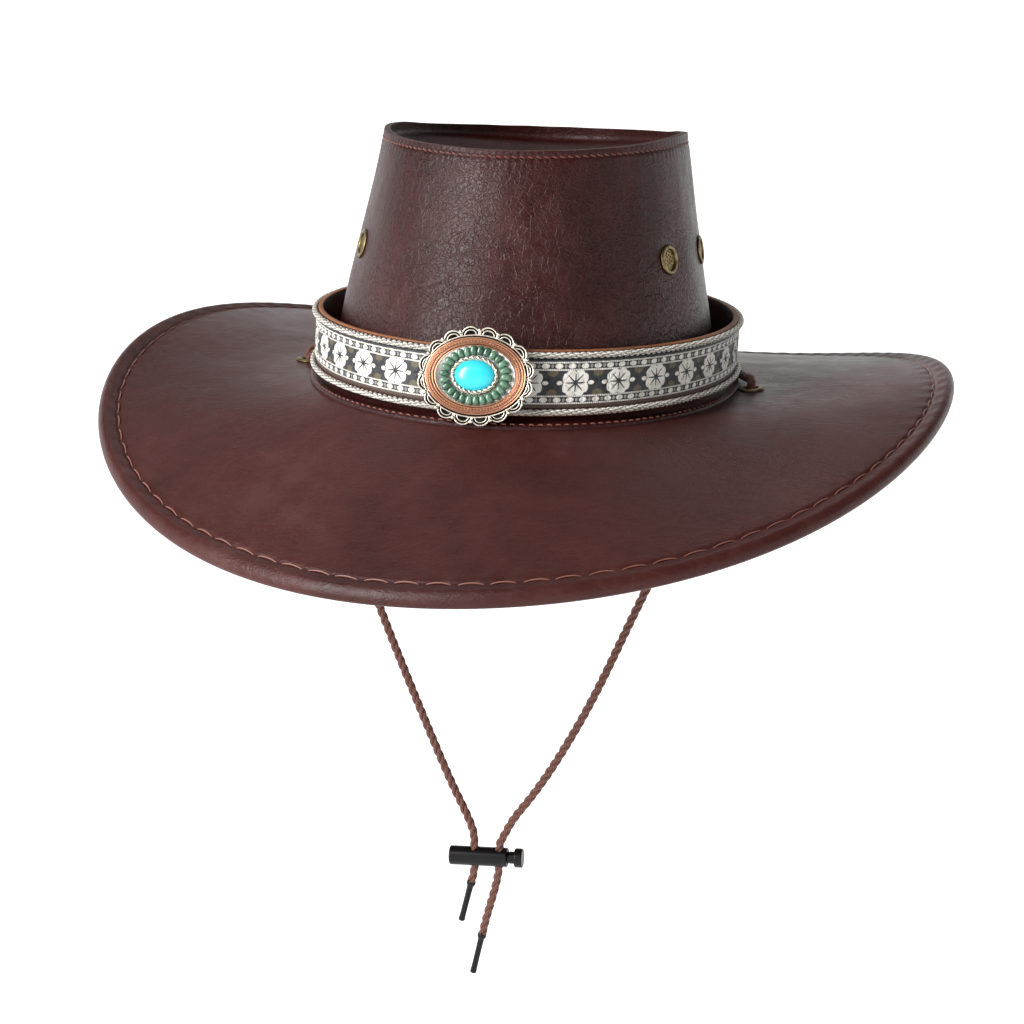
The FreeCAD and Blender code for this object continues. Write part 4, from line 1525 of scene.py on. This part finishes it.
    def lower_leather(self) -> bpy.types.Object:
        """The under sheet: a flat closed loop of distance and height carried round the hat."""
        edge = HAT.brim_width - 2 * HAT.roll
        outs = np.linspace(-self.inside, edge, 40)
        profile = np.vstack([np.column_stack([outs, np.full(40, self.lower_top)]),
                             np.column_stack([outs[::-1], np.full(40, self.lower_bottom)])])
        turn = self.turn_by_length(self.columns // 2)
        out, up = profile[:, 0:1], profile[:, 1:2]
        shown = np.arange(80)[:, None] >= 40
        lift = self.unevenness(turn[None], out) * np.clip((edge - 4 - out) / 8, 0, 1) * np.where(shown, 1.0, 0.2)
        points = HAT.brim(turn[None], out, up + lift - 0.02)
        made = Surface().grid(points, True).piece(
            "brim_lower_leather", [Finish.UNDER], "hat", "brim_leather", ("brim_lower",))
        drilled(made, list(self.eyelet_places().values()), self.cord_hole, self.cutter_reach)
        return made

    def stitching(self) -> None:
        """Long stitches on top and short returns below, along the rolled edge."""
        turn = self.turn_by_length(2400)
        out = self.stitch_out - 0.05
        ground = self.unevenness(turn, np.array(out)) - 0.42
        line = HAT.brim(turn, out, ground)
        outward = HAT.brim(turn, out + 1.0, ground) - line
        ahead = np.roll(line, -1, 0) - line
        normal = unit(np.cross(outward, ahead))
        surface = Surface().copies(self.seam.sew(line, normal, 5))
        below = HAT.brim(turn, out - 0.6, -4.62)
        short = Seam(self.seam.pitch, 0.70, 0.34, 0.25, 0.3, steps=8)
        surface.copies(short.sew(below, -normal, 6))
        surface.piece("brim_edge_stitches", [Finish.THREAD], "hat", "brim_leather")

    def cord_eyelets(self) -> None:
        """Brass eyelets for the cord: a rolled flange and a barrel through the brim."""
        outline = np.array([(6.0, 0.2), (6.0, 0.55), (5.2, 1.05), (4.0, 1.15), (3.1, 0.7), (3.0, 0.0),
                            (3.0, -4.2), (3.58, -4.2), (3.58, 0.2)])
        for side, place in self.eyelet_places().items():
            Surface().grid(lathe(eased(outline), place, 56), True).piece(
                f"cord_eyelet_brass_{side}", [Finish.BRASS], "hat", "antique_brass",
                (f"cord_eyelet_{side}",))
            dress_nodes(Finish.BRASS, f"cord_eyelet_washer_{side}")

    def build(self) -> None:
        """Every piece of the brim."""
        self.upper_leather()
        self.lower_leather()
        self.stitching()
        self.cord_eyelets()
        dress_nodes(Finish.BOARD, "brim_core")
        dress_nodes(Finish.STEEL, "brim_edge_wire")


# ---- crown ----

@dataclass
class Crown:
    """Side wall, dished tip in a pinched seam, lining, sweatband and four vents."""

    columns: int = 720
    tip_leather: float = 1.2
    tip_sink: float = 8.5
    lining: float = 0.6
    sweatband: float = 2.0
    vent_height: float = 60.3
    vent_hole: float = 5.0
    cutter_reach: float = 8.0
    vent_turns: dict = field(default_factory=lambda: {
        "front_right": -28.6, "rear_right": -2.3, "front_left": 208.6, "rear_left": 182.3})
    top_seam: Seam = field(default_factory=lambda: Seam(3.3, 0.80, 0.36, 0.24, 0.0, 0.9, 6))
    base_seam: Seam = field(default_factory=lambda: Seam(3.7, 0.62, 0.27, 0.22, 0.0, 0.25, 6))

    def vent_places(self) -> dict[str, Place]:
        """Frames of the four vents."""
        return {name: HAT.vent_place(math.radians(turn), self.vent_height)
                for name, turn in self.vent_turns.items()}

    def pinch(self, turn: Array, z: Array) -> Array:
        """Inward push of the outer face: puckers at each top stitch, and the line pulled in by the thread.

        Args:
            turn: angle round the hat.
            z: height on the wall.

        Returns:
            The push, in millimetres.
        """
        girth = line_length(ring_closed(HAT.wall(turns(720), HAT.height, 0.0)))
        number = round(girth / self.top_seam.pitch)
        beat = 0.5 + 0.5 * np.cos(number * turn)
        pulled = 0.50 * bell(z, HAT.height, 1.0)
        pucker = 0.16 * beat * bell(z, HAT.height - 2.5, 2.6) + 0.22 * beat * bell(z, HAT.height + 2.2, 1.8)
        return pulled + pucker

    def ridged(self, turn: Array, z: Array) -> Array:
        """Heights with the part above the top seam shortened at the front and longest at the back.

        Args:
            turn: angle round the hat.
            z: height on the wall.

        Returns:
            The heights.
        """
        share = 0.74 + 0.42 * np.clip(np.cos(2 * turn), 0, 1) ** 2 + 0.62 * np.clip(np.sin(turn), 0, 1) ** 2
        share = share + 0.02 * ripple(turn, 0 * z, 24, 6, (30, 0.0))
        return np.where(z > HAT.height, HAT.height + (z - HAT.height) * share, z + 0 * turn)

    def sag(self, turn: Array, z: Array) -> Array:
        """Inward push of soft dents and upright wrinkles, away from the vents' flat places and the seams.

        Args:
            turn: angle round the hat.
            z: height on the wall.

        Returns:
            The push, in millimetres.
        """
        share = np.sin(np.pi * np.clip(z / HAT.height, 0, 1)) ** 0.5
        broad = 0.75 * ripple(turn, z, 21, 7, (7, 0.05))
        upright = 0.13 * ripple(turn, z, 22, 10, (46, 0.04)) * bell(z, HAT.height - 10, 26)
        gentle = np.ones(np.broadcast(turn, z).shape)
        for degrees in self.vent_turns.values():
            away = np.angle(np.exp(1j * (turn - math.radians(degrees))))
            gentle = gentle * (1 - np.exp(-((away * 85) ** 2 + (z - self.vent_height) ** 2) / 150))
        return share * gentle * (broad + upright)

    def side_wall(self) -> bpy.types.Object:
        """The wall: up from the flange on the brim, to the raw top edge, and down inside.

        The profile is a closed loop: flange and foot as distances out on the brim, the rest as
        heights and insets of the wall, carried round the hat as one grid.
        """
        turn = turns(self.columns)[None]
        top, leather = HAT.height + HAT.ridge, HAT.leather

        def foot(pairs: list[tuple[float, float]]) -> Array:
            """Rows of the foot, from distances out and heights on the brim."""
            pair = np.array(pairs)
            return HAT.brim(turn, pair[:, 0:1], pair[:, 1:2])

        def rise(heights: Array, inset: float, moved: float) -> Array:
            """Rows of the wall at these heights and inset, with its dents and puckers."""
            z = np.asarray(heights)[:, None]
            push = moved * (self.sag(turn, z) + self.pinch(turn, z))
            return HAT.wall(turn, self.ridged(turn, z), inset + push)

        outside = rise(np.concatenate([np.linspace(7, HAT.height - 8, 58),
                                       np.linspace(HAT.height - 7.2, top - 0.5, 26)]), 0.0, 1.0)
        lip = rise(np.array([top - 0.15, top, top, top - 0.15]), 0.0, 1.0)
        lip = lip + np.array([0.0, 0.25, 0.75, 1.0])[:, None, None] * (
            HAT.wall(turn, HAT.height, leather) - HAT.wall(turn, HAT.height, 0.0))
        inner = rise(np.concatenate([np.linspace(top - 0.6, HAT.height - 8, 8),
                                     np.linspace(HAT.height - 16, 7, 12)]), leather, 0.55)
        flange = foot([(2.2, 0.05), (2.25, 0.5), (2.2, 1.15), (1.9, 1.38), (1.2, 1.45), (0.2, 1.46),
                       (-0.8, 1.46), (-1.8, 1.48), (-2.7, 1.56), (-3.4, 1.75), (-4.0, 2.1)])
        climb_top = HAT.wall(turn, np.array([[4.3]]), 0.0)
        climb_base = foot([(-4.0, 2.1)])
        ease = np.array([0.3, 0.62])[:, None, None]
        climb = climb_base * (1 - ease) + climb_top * ease
        under = foot([(-5.6, 0.1), (-3.0, 0.04), (0.0, 0.03), (1.8, 0.03)])
        points = np.concatenate([flange, climb, climb_top, outside, lip, inner, under])
        lip_row = len(flange) + len(climb) + len(climb_top) + len(outside)
        made = Surface().grid(points, True, row_dress=((1, lip_row, lip_row + len(lip)),)).piece(
            "crown_side_leather", [Finish.CROWN, Finish.RAW_RIM], "hat",
            "crown_leather", ("crown_side",), sharp=55)
        drilled(made, list(self.vent_places().values()), self.vent_hole, self.cutter_reach)
        return made

    def tip(self) -> bpy.types.Object:
        """The top: a dish that deepens as 1 less the distance from its middle to the power 3.2.

        Its edge turns up and stands against the wall. The height also takes a share of the seam's
        wave, and soft dents.
        """
        rim = HAT.leather + 0.05
        thick = self.tip_leather
        turn = turns(480)[None]
        top = HAT.height + HAT.ridge
        seam_a, seam_b = HAT.top_a - rim - thick, HAT.top_b - rim - thick

        def floor(shares: Array, down: float) -> Array:
            """Rows of the dish at shares of the way out, lowered by down."""
            s = shares[:, None]
            dents = 0.5 * ripple(turn, 60 * s, 31, 6, (3, 0.05)) * s * (1 - s) * 3
            drop = self.tip_sink * (1 - s ** 3.2) + dents
            z = HAT.height - 0.9 - drop + s ** 1.5 * HAT.top_wave(turn) - down
            return np.stack([seam_a * s * np.cos(turn), seam_b * s * np.sin(turn), z], -1)

        def stand(heights: list[float], inset: float) -> Array:
            """Rows of the standing edge at these heights."""
            z = np.array(heights)[:, None]
            return HAT.wall(turn, self.ridged(turn, z), inset + 0.45 * self.pinch(turn, z))

        upper = floor(np.concatenate([[0.02], np.linspace(0.08, 0.985, 44)]), 0.0)
        raised = stand([HAT.height + 0.2, HAT.height + 1.2, HAT.height + 2.2, top - 0.4, top - 0.1], rim + thick)
        edge = stand([top + 0.05, top + 0.05], rim + thick * 0.7)
        edge[1] = stand([top + 0.05], rim + thick * 0.3)[0]
        outer = stand([top - 0.1, HAT.height + 1.5, HAT.height - 1.6], rim)
        lower = floor(np.concatenate([np.linspace(0.985, 0.08, 22), [0.02]]), thick)
        rows = len(upper) + len(raised)
        points = np.concatenate([upper, raised, edge, outer, lower])
        return Surface().grid(points, False, row_dress=((1, rows - 1, rows + 2),)).piece(
            "crown_tip_leather", [Finish.CROWN, Finish.RAW_RIM], "hat",
            "crown_leather", ("crown_tip",), sharp=60)

    def linings(self) -> None:
        """Cloth inside the wall and under the tip, with soft folds."""
        turn = turns(360)[None]
        outer = HAT.leather + 0.35
        z = np.linspace(10, HAT.height - 9, 40)[:, None]
        folds = 0.35 * (1 + ripple(turn, z, 41, 8, (26, 0.06)))
        points = np.concatenate([HAT.wall(turn, z, outer + folds * 0.3),
                                 HAT.wall(turn, z[::-1], outer + self.lining + folds[::-1] * 0.9)])
        side = Surface().grid(points, True).piece(
            "crown_lining_cloth", [Finish.LINING], "hat", "lining_cloth", ("crown_lining",))
        drilled(side, list(self.vent_places().values()), self.vent_hole, self.cutter_reach)
        girth = line_length(ring_closed(HAT.wall(turns(360), 53.0, 2.0)))
        a, b = HAT.wall(0.0, HAT.height - 9, 2.5)[0], HAT.wall(math.pi / 2, HAT.height - 9, 2.5)[1]
        low = HAT.height - self.tip_sink - self.tip_leather - 2.2
        share = np.concatenate([[0.02], np.linspace(0.06, 0.99, 26)])[:, None]
        puff = 0.3 * ripple(turn, 60 * share, 42, 6, (7, 0.1)) * share * (1 - share)

        def level(down: float, s: Array, lift: Array) -> Array:
            """Rows of the tip's lining."""
            z_top = low - down + lift + 0.9 * s ** 2 * HAT.top_wave(turn)
            return np.stack([a * s * np.cos(turn), b * s * np.sin(turn), z_top], -1)

        points = np.concatenate([level(0.0, share, puff), level(self.lining, share[::-1], puff[::-1])])
        tip = Surface().grid(points, False).piece(
            "crown_lining_tip_cloth", [Finish.LINING], "hat", "lining_cloth", ("crown_lining_tip",))

    def band_inside(self) -> None:
        """Sweatband: a soft strip with rounded edges and a sewn line near its foot."""
        outer = HAT.leather + self.lining + 0.35
        inner = outer + self.sweatband
        outline = eased(np.array([(-3.2, outer + 0.1), (16.0, outer), (34.0, outer + 0.2), (34.3, outer + 1.0),
                                  (33.6, inner), (16.0, inner + 0.2), (-1.2, inner), (-3.4, inner - 0.6)]), 3)
        turn = turns(480)[None]
        z, inset = outline[:, 0:1], outline[:, 1:2]
        wave = 0.25 * ripple(turn, z, 51, 8, (16, 0.05)) * np.clip((z + 2) / 20, 0, 1)
        Surface().grid(HAT.wall(turn, z, inset + wave * (inset > outer + 0.8)), True).piece(
            "sweatband_leather_strip", [Finish.INNER], "hat", "sweatband_leather", ("sweatband",))
        line = HAT.wall(turns(1200), 1.4, inner + 0.02)
        middle = np.array([0.0, 0.0, 1.4])
        seam = Seam(4.2, 0.66, 0.26, 0.22, 0.0, steps=6)
        Surface().copies(seam.sew(line, unit((middle - line) * [1, 1, 0]), 8)).piece(
            "sweatband_stitches", [Finish.SEAM_THREAD], "hat", "sweatband_leather")

    def stitching(self) -> None:
        """Stitches of the top seam and of the crown's foot."""
        turn = turns(2400)
        line = HAT.wall(turn, HAT.height, 0.42 + self.pinch(turn, np.array(HAT.height)) * 0.2
                        + self.sag(turn, np.array(HAT.height)))
        middle = np.array([0.0, 0.0, HAT.height - 12.0])
        outward = unit((line - middle) * [1 / HAT.top_a ** 2, 1 / HAT.top_b ** 2, 0.00008])
        Surface().copies(self.top_seam.sew(line, outward, 3)).piece(
            "crown_top_stitches", [Finish.SEAM_THREAD], "hat", "crown_leather")
        foot = HAT.brim(turn, 0.9, 1.44)
        upright = np.broadcast_to([0.0, 0.0, 1.0], foot.shape)
        Surface().copies(self.base_seam.sew(foot, upright, 4)).piece(
            "crown_foot_stitches", [Finish.THREAD], "hat", "crown_leather")

    def vents(self) -> None:
        """Brass eyelets and bumpy screens of the vents."""
        outline = eased(np.array([(6.5, 0.12), (6.55, 0.5), (6.0, 1.0), (5.2, 1.12), (4.55, 0.85), (4.4, 0.35),
                                  (4.4, -2.9), (4.98, -2.9), (4.98, 0.1)]))
        rows = np.linspace(0.03, 1, 26)[:, None]
        angle = turns(72)[None]
        radius = 4.38
        x, y = rows * radius * np.cos(angle), rows * radius * np.sin(angle)
        step = TAU / 1.5
        mesh = sum(np.cos(step * (x * math.cos(k) + y * math.sin(k))) for k in (0.0, TAU / 6, TAU / 3))
        bumps = 0.15 * mesh * np.clip((1 - rows) * 8, 0, 1)
        front = np.stack([x, y, 0.25 * (1 - rows ** 2) + bumps * 0.6 + 0.10], -1)
        back = np.stack([x, y, np.full(x.shape, -0.32)], -1)[::-1]
        for name, place in self.vent_places().items():
            Surface().grid(lathe(outline, place, 64), True).piece(
                f"vent_ring_{name}", [Finish.BRASS], "hat", "antique_brass", (f"vent_eyelet_{name}",))
            Surface().grid(place.put(np.concatenate([front, back])), False).piece(
                f"vent_mesh_{name}", [Finish.BRASS], "hat", "antique_brass", (f"vent_screen_{name}",))
            dress_nodes(Finish.BRASS, f"vent_washer_{name}")

    def build(self) -> None:
        """Every piece of the crown."""
        self.side_wall()
        self.tip()
        self.linings()
        self.band_inside()
        self.stitching()
        self.vents()


# ---- hatband ----

@dataclass
class Hatband:
    """Leather strap with a woven ribbon between two twisted cords."""

    strap: float = 2.2
    ribbon_low: float = 3.2
    inset: float = 1.8
    weave: WovenBand = field(default_factory=WovenBand)
    braid: Rope = field(default_factory=lambda: Rope(2, 0.74, 0.62, 5.6, 8))

    def strap_ring(self) -> None:
        """The strap: a rounded oblong section carried round the band's oval; its edges are cut leather."""
        half, high = self.strap / 2, HAT.band_height
        ups = np.linspace(0.5, high - 0.5, 14)
        face = np.column_stack([ups, np.full(14, half)])
        inner = np.column_stack([ups[::-1], np.full(14, -half)])
        top = np.array([(high - 0.12, half - 0.2), (high, half - 0.5), (high, 0.0), (high, 0.5 - half),
                        (high - 0.12, 0.2 - half)])
        low = np.column_stack([high - top[:, 0], -top[:, 1]])
        profile = np.vstack([face, top, inner, low])
        turn = turns(480)[None]
        points = HAT.band(turn, profile[:, 0:1], profile[:, 1:2])
        upper = (1, len(face) - 1, len(face) + len(top))
        lower = (1, len(profile) - len(low) - 2, len(profile))
        Surface().grid(points, True, row_dress=(upper, lower, (1, 0, 1))).piece(
            "hatband_strap_leather", [Finish.BAND, Finish.EDGE],
            "hatband", "band_leather", ("hatband_strap",))
        dress_nodes(Finish.BRASS, "hatband_rivets")

    def ribbon(self) -> None:
        """The ribbon: the weave's relief on the strap's outer face, and a plain back."""
        wide = HAT.band_height - 2 * self.ribbon_low
        columns = self.weave.flowers * 46
        base = self.strap / 2 + 0.03
        length = line_length(ring_closed(HAT.band(turns(columns), HAT.band_height / 2, base)))
        fine = np.linspace(0, TAU, 8001)
        reach = reach_along(HAT.band(fine, HAT.band_height / 2, base))
        turn = np.interp(np.arange(columns) / columns * reach[-1], reach, fine)[None]
        across = np.linspace(0, wide, 47)[:, None]
        along = (np.arange(columns) / columns * length)[None]
        relief = self.weave.relief(along + 0 * across, across + 0 * along, length)
        edge = np.clip(np.minimum(across, wide - across) / 0.5, 0, 1)
        front = HAT.band(turn, self.ribbon_low + across, base + 0.16 + (0.32 + relief) * edge ** 0.5)
        back = HAT.band(turn, self.ribbon_low + across[::-46], np.full((2, 1), base))
        made = Surface().grid(np.concatenate([front, back]), True).piece(
            "hatband_ribbon_weave", [self.weave.made(length)], "hatband", "ribbon_weave",
            ("hatband_ribbon",))

    def braids(self) -> None:
        """Twisted silver cords along both edges."""
        fine = np.linspace(0, TAU, 1121)[:-1]
        outward = self.strap / 2 + 1.35
        for name, up in (("lower", self.inset), ("upper", HAT.band_height - self.inset)):
            line = HAT.band(fine, up, outward)
            over = np.broadcast_to([0.0, 0.0, 1.0], line.shape)
            surface = Surface()
            self.braid.along(surface, line, over, True)
            surface.piece(f"hatband_cord_{name}", [Finish.BRAID], "hatband", "silver_braid",
                          (f"hatband_braid_{name}",))

    def build(self) -> None:
        """Every piece of the band."""
        self.strap_ring()
        self.ribbon()
        self.braids()


# ---- concho ----

def even_turns(a: float, b: float, count: int, offset: float = 0.0) -> Array:
    """Angles of points evenly spaced along an oval's length.

    Args:
        a: half length along X.
        b: half length along Y.
        count: number of points.
        offset: share of a step that the first point is moved on by.

    Returns:
        The angles.
    """
    fine = np.linspace(0, TAU, 3601)
    steps = np.hypot(a * np.sin(fine[:-1] + 0.0009), b * np.cos(fine[:-1] + 0.0009))
    reach = np.concatenate([[0.0], np.cumsum(steps)])
    return np.interp((np.arange(count) + offset) % count / count * reach[-1], reach, fine)


@dataclass
class Concho:
    """Oval ornament: scalloped filigree, copper ring, bright dish, beads, twisted bezel and stone."""

    foot_up: float = 13.8
    lean: float = math.radians(18)
    plate_low: float = 5.0
    plate_high: float = 6.0
    lobe: float = 3.5
    lobes: int = 16
    ring: tuple[float, float] = (20.5, 16.8)
    rim: tuple[float, float] = (20.5, 15.6)
    dish: tuple[float, float] = (16.2, 12.0)
    beads: int = 26
    bead_row: tuple[float, float] = (12.5, 9.95)
    stone: tuple[float, float] = (8.2, 6.2)

    @property
    def place(self) -> Place:
        """Frame of the concho on the band's front, Z out of it."""
        foot = HAT.band(-math.pi / 2, self.foot_up, 1.1)
        return Place.at(foot, (1.0, 0.0, 0.0), (0.0, -math.cos(self.lean), math.sin(self.lean)))

    def oval(self, angle: Array, size: tuple[float, float], grow: Array, z: Array) -> Array:
        """Local points of an oval grown along its own outward normal.

        Args:
            angle: angle round the oval.
            size: its half lengths.
            grow: distance outwards.
            z: height.

        Returns:
            The points.
        """
        angle, grow, z = np.broadcast_arrays(angle, grow, z)
        scale = np.hypot(np.cos(angle) * size[1], np.sin(angle) * size[0])
        return np.stack([np.cos(angle) * (size[0] + grow * size[1] / scale),
                         np.sin(angle) * (size[1] + grow * size[0] / scale), z], -1)

    def make(self, name: str, surface: Surface, finish: Finish, slot: str, *nodes: str) -> bpy.types.Object:
        """One piece of the concho, riding on the hatband."""
        return surface.piece(f"concho_{name}", [finish], "hatband", slot, nodes, sharp=50)

    def plate(self) -> None:
        """Dark scalloped plate: the oval grown by half circles, one at each lobe, and its boss."""
        steps = 30
        angle = even_turns(*self.ring, self.lobes * steps)
        part = (np.arange(self.lobes * steps) / steps + 0.5) % 1.0 - 0.5
        girth = line_length(self.oval(np.append(angle, angle[0]), self.ring, 0.0, 0.0))
        off = part * girth / self.lobes
        swell = np.sqrt(np.maximum(self.lobe ** 2 - off ** 2, 0.0)) - 0.3
        turn = np.roll(angle, steps // 2)
        rows = [(0.03, 0.0), (0.3, 0.0), (0.6, 0.0), (0.8, 0.0), (0.9, 0.0), (1.0, 0.0), (1.0, 0.5), (1.0, 0.85),
                (1.0, 0.97), (1.0, 1.0)]
        front = [self.oval(turn, self.ring, swell * grow, self.plate_high) * [s, s, 1] for s, grow in rows]
        back = [self.oval(turn, self.ring, swell * grow, self.plate_low + 0.1) * [s, s, 1]
                for s, grow in reversed(rows)]
        surface = Surface().grid(self.place.put(np.stack(front + back)), False)
        boss = np.array([(0.3, 1.1), (5.0, 1.1), (5.0, 5.3), (0.3, 5.3)])
        surface.grid(lathe(boss, self.place, 40), False)
        self.make("plate_dark", surface, Finish.TARNISH, "antique_silver", "concho_plate")

    def filigree(self) -> None:
        """Silver wires: two arches on each lobe, and thin oval wires each side of them."""
        centres = even_turns(*self.ring, self.lobes, 0.5)
        surface = Surface()
        sweep = np.linspace(-1, 1, 25)
        for wide, tall, wire, lift, reach in ((3.45, 3.1, 0.36, 0.34, 100), (2.35, 1.9, 0.27, 0.26, 96)):
            bend = np.radians(reach) * sweep
            middle = self.oval(centres, self.ring, 0.0, self.plate_high + lift)
            normal = unit(self.oval(centres, self.ring, 1.0, self.plate_high + lift) - middle)
            side = np.cross([0.0, 0.0, 1.0], normal)
            line = (middle[:, None] + tall * np.cos(bend)[None, :, None] * normal[:, None]
                    + wide * np.sin(bend)[None, :, None] * side[:, None])
            line = self.place.put(line)
            over = np.broadcast_to(self.place.z, line.shape)
            taper = wire * (0.8 + 0.2 * np.cos(sweep * math.pi / 2))
            surface.copies(tube_round(line, over, np.broadcast_to(taper, line.shape[:2]), 8, False))
        fine = turns(240)
        for grow, wire, lift in ((0.55, 0.34, 0.30), (-0.95, 0.30, 0.62)):
            line = self.place.put(self.oval(fine, self.rim, grow + 0.35, self.plate_high + lift))
            over = np.broadcast_to(self.place.z, line.shape)
            surface.grid(tube_round(line, over, wire, 8, True), True)
        self.make("filigree", surface, Finish.SILVER, "antique_silver")

    def balls(self) -> None:
        """Small silver balls between the lobes."""
        centres = self.oval(even_turns(*self.ring, self.lobes), self.ring, 1.55, self.plate_high + 0.55)
        shapes = self.blobs(centres, np.ones(self.lobes), (0.95, 0.95, 0.85))
        self.make("balls", Surface().copies(self.place.put(shapes)), Finish.SILVER, "antique_silver",
                  "concho_granules")

    def blobs(self, centres: Array, sizes: Array, half: tuple[float, float, float], square: float = 1.0,
              rows: int = 9, cols: int = 12) -> Array:
        """Rounded bodies: latitude by longitude of an ellipsoid, made fuller by a power under 1.

        Args:
            centres: local centres of the bodies.
            sizes: size of each against the rest.
            half: half lengths outwards, sideways and up.
            square: power of the sines and cosines; smaller is fuller.
            rows: rings of points.
            cols: points of a ring.

        Returns:
            Array of bodies by rows by columns by three.
        """
        polar = np.linspace(0.12, math.pi - 0.12, rows)[:, None]
        angle = turns(cols)[None]

        def power(v: Array) -> Array:
            """Value raised to the power, keeping its sign."""
            return np.sign(v) * np.abs(v) ** square

        outward = half[0] * power(np.cos(polar)) + 0 * angle
        sideways = half[1] * power(np.sin(polar)) * power(np.cos(angle))
        upward = half[2] * power(np.sin(polar)) * power(np.sin(angle))
        direction = unit(centres * [1 / self.bead_row[0] ** 2, 1 / self.bead_row[1] ** 2, 0])
        side = np.cross([0.0, 0.0, 1.0], direction)
        scale = sizes[:, None, None, None]
        return (centres[:, None, None] + scale * (
            outward[None, ..., None] * direction[:, None, None] + sideways[None, ..., None] * side[:, None, None]
            + upward[None, ..., None] * np.array([0.0, 0.0, 1.0])))

    def copper_ring(self) -> None:
        """Copper ring: a low dome across, with fine lines all along it and a row of dots in the middle."""
        share = np.linspace(0, 1, 43)[:, None]
        angle = turns(560)[None]
        low = self.plate_high + 0.05
        crown = 0.55 + 0.75 * np.sin(np.pi * np.clip(share, 0.02, 0.98)) ** 0.5
        lines = 0.5 + 0.5 * np.cos(share * TAU * 4)
        dots = np.clip(np.cos(88 * angle), 0, 1) * bell(share, 0.5, 0.09)
        height = low + crown + 0.32 * lines + 0.26 * dots + 0.10 * bell(share, 0.93, 0.05)

        def spot(s: Array, z: Array) -> Array:
            """Point between the ring's inner and outer ovals."""
            a = self.dish[0] + (self.rim[0] - self.dish[0]) * s
            b = self.dish[1] + (self.rim[1] - self.dish[1]) * s
            return np.stack(np.broadcast_arrays(a * np.cos(angle), b * np.sin(angle), z), -1)

        back = np.array([[1.0], [0.0]])
        points = np.concatenate([spot(share, height), spot(back, np.full((2, 1), low))])
        self.make("ring_copper", Surface().grid(self.place.put(points), True), Finish.COPPER, "copper",
                  "concho_rim")

    def bright_dish(self) -> None:
        """Polished dish: its floor rises as the square of the way out."""
        share = np.concatenate([[0.03], np.linspace(0.1, 1, 22)])[:, None]
        angle = turns(160)[None]
        a, b = self.dish[0] - 0.08, self.dish[1] - 0.08
        floor = self.plate_high + 0.25 + 0.55 * share ** 3 + 0 * angle
        top = np.stack([a * share * np.cos(angle), b * share * np.sin(angle), floor], -1)
        base = np.stack([a * share * np.cos(angle), b * share * np.sin(angle),
                         np.full(floor.shape, self.plate_high + 0.04)], -1)[::-4]
        self.make("dish_bright", Surface().grid(self.place.put(np.concatenate([top, base])), False),
                  Finish.MIRROR, "bright_silver", "concho_dish")

    def bead_ring(self) -> None:
        """Green glass beads, long outwards, each a little different."""
        rng = np.random.default_rng(9)
        grow = rng.uniform(-0.15, 0.15, self.beads)
        centres = self.oval(even_turns(*self.bead_row, self.beads), self.bead_row, grow,
                            self.plate_high + 1.05 + 1.25)
        shapes = self.blobs(centres, rng.uniform(0.93, 1.05, self.beads), (2.0, 1.36, 1.3), 0.72, 11, 16)
        surface = Surface().copies(self.place.put(shapes), rng.uniform(0, 1, self.beads))
        self.make("bead_row", surface, Finish.BEADS, "green_beads", "concho_beads")

    def bezel_and_stone(self) -> None:
        """Twisted wire round the stone, and the stone: a dome on a short upright girdle."""
        size = (self.stone[0] + 0.72, self.stone[1] + 0.72)
        fine = turns(420)
        line = self.place.put(self.oval(fine, size, 0.0, self.plate_high + 2.35))
        surface = Surface()
        Rope(2, 0.52, 0.50, 4.6, 8).along(surface, line, np.broadcast_to(self.place.z, line.shape), True)
        cup = np.array([(1.0, 1.05), (1.075, 1.05), (1.075, 2.3), (1.0, 2.3)])
        turned = np.column_stack([cup[:, 0], cup[:, 1] + self.plate_high])
        surface.grid(lathe(turned, self.place, 96, self.stone), True)
        self.make("bezel_twist", surface, Finish.SILVER, "antique_silver", "concho_bezel")
        low = self.plate_high + 1.02
        polar = np.linspace(0, math.pi / 2 - 0.03, 26)
        dome = np.column_stack([np.cos(polar) ** 0.86, low + 1.2 + 2.8 * np.sin(polar) ** 1.02])
        profile = np.vstack([[(0.05, low), (0.7, low), (0.99, low)], [(1.0, low + 0.4)], dome])
        grown = (self.stone[0] - 0.03, self.stone[1] - 0.03)
        self.make("stone_turquoise", Surface().grid(lathe(profile, self.place, 120, grown), False),
                  Finish.TURQUOISE, "turquoise", "concho_stone")

    def build(self) -> None:
        """Every piece of the concho."""
        self.plate()
        self.filigree()
        self.balls()
        self.copper_ring()
        self.bright_dish()
        self.bead_ring()
        self.bezel_and_stone()
        dress_nodes(Finish.STEEL, "concho_post", "concho_screw")


def main() -> None:
    """Builds the studio and the hat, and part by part."""
    logging.basicConfig(level=logging.INFO, format="%(name)s: %(message)s")
    studio = Studio()
    studio.camera()
    ChinCord().build()
    Brim().build()
    Crown().build()
    Hatband().build()
    Concho().build()
    studio.build()


if __name__ == "__main__":
    main()
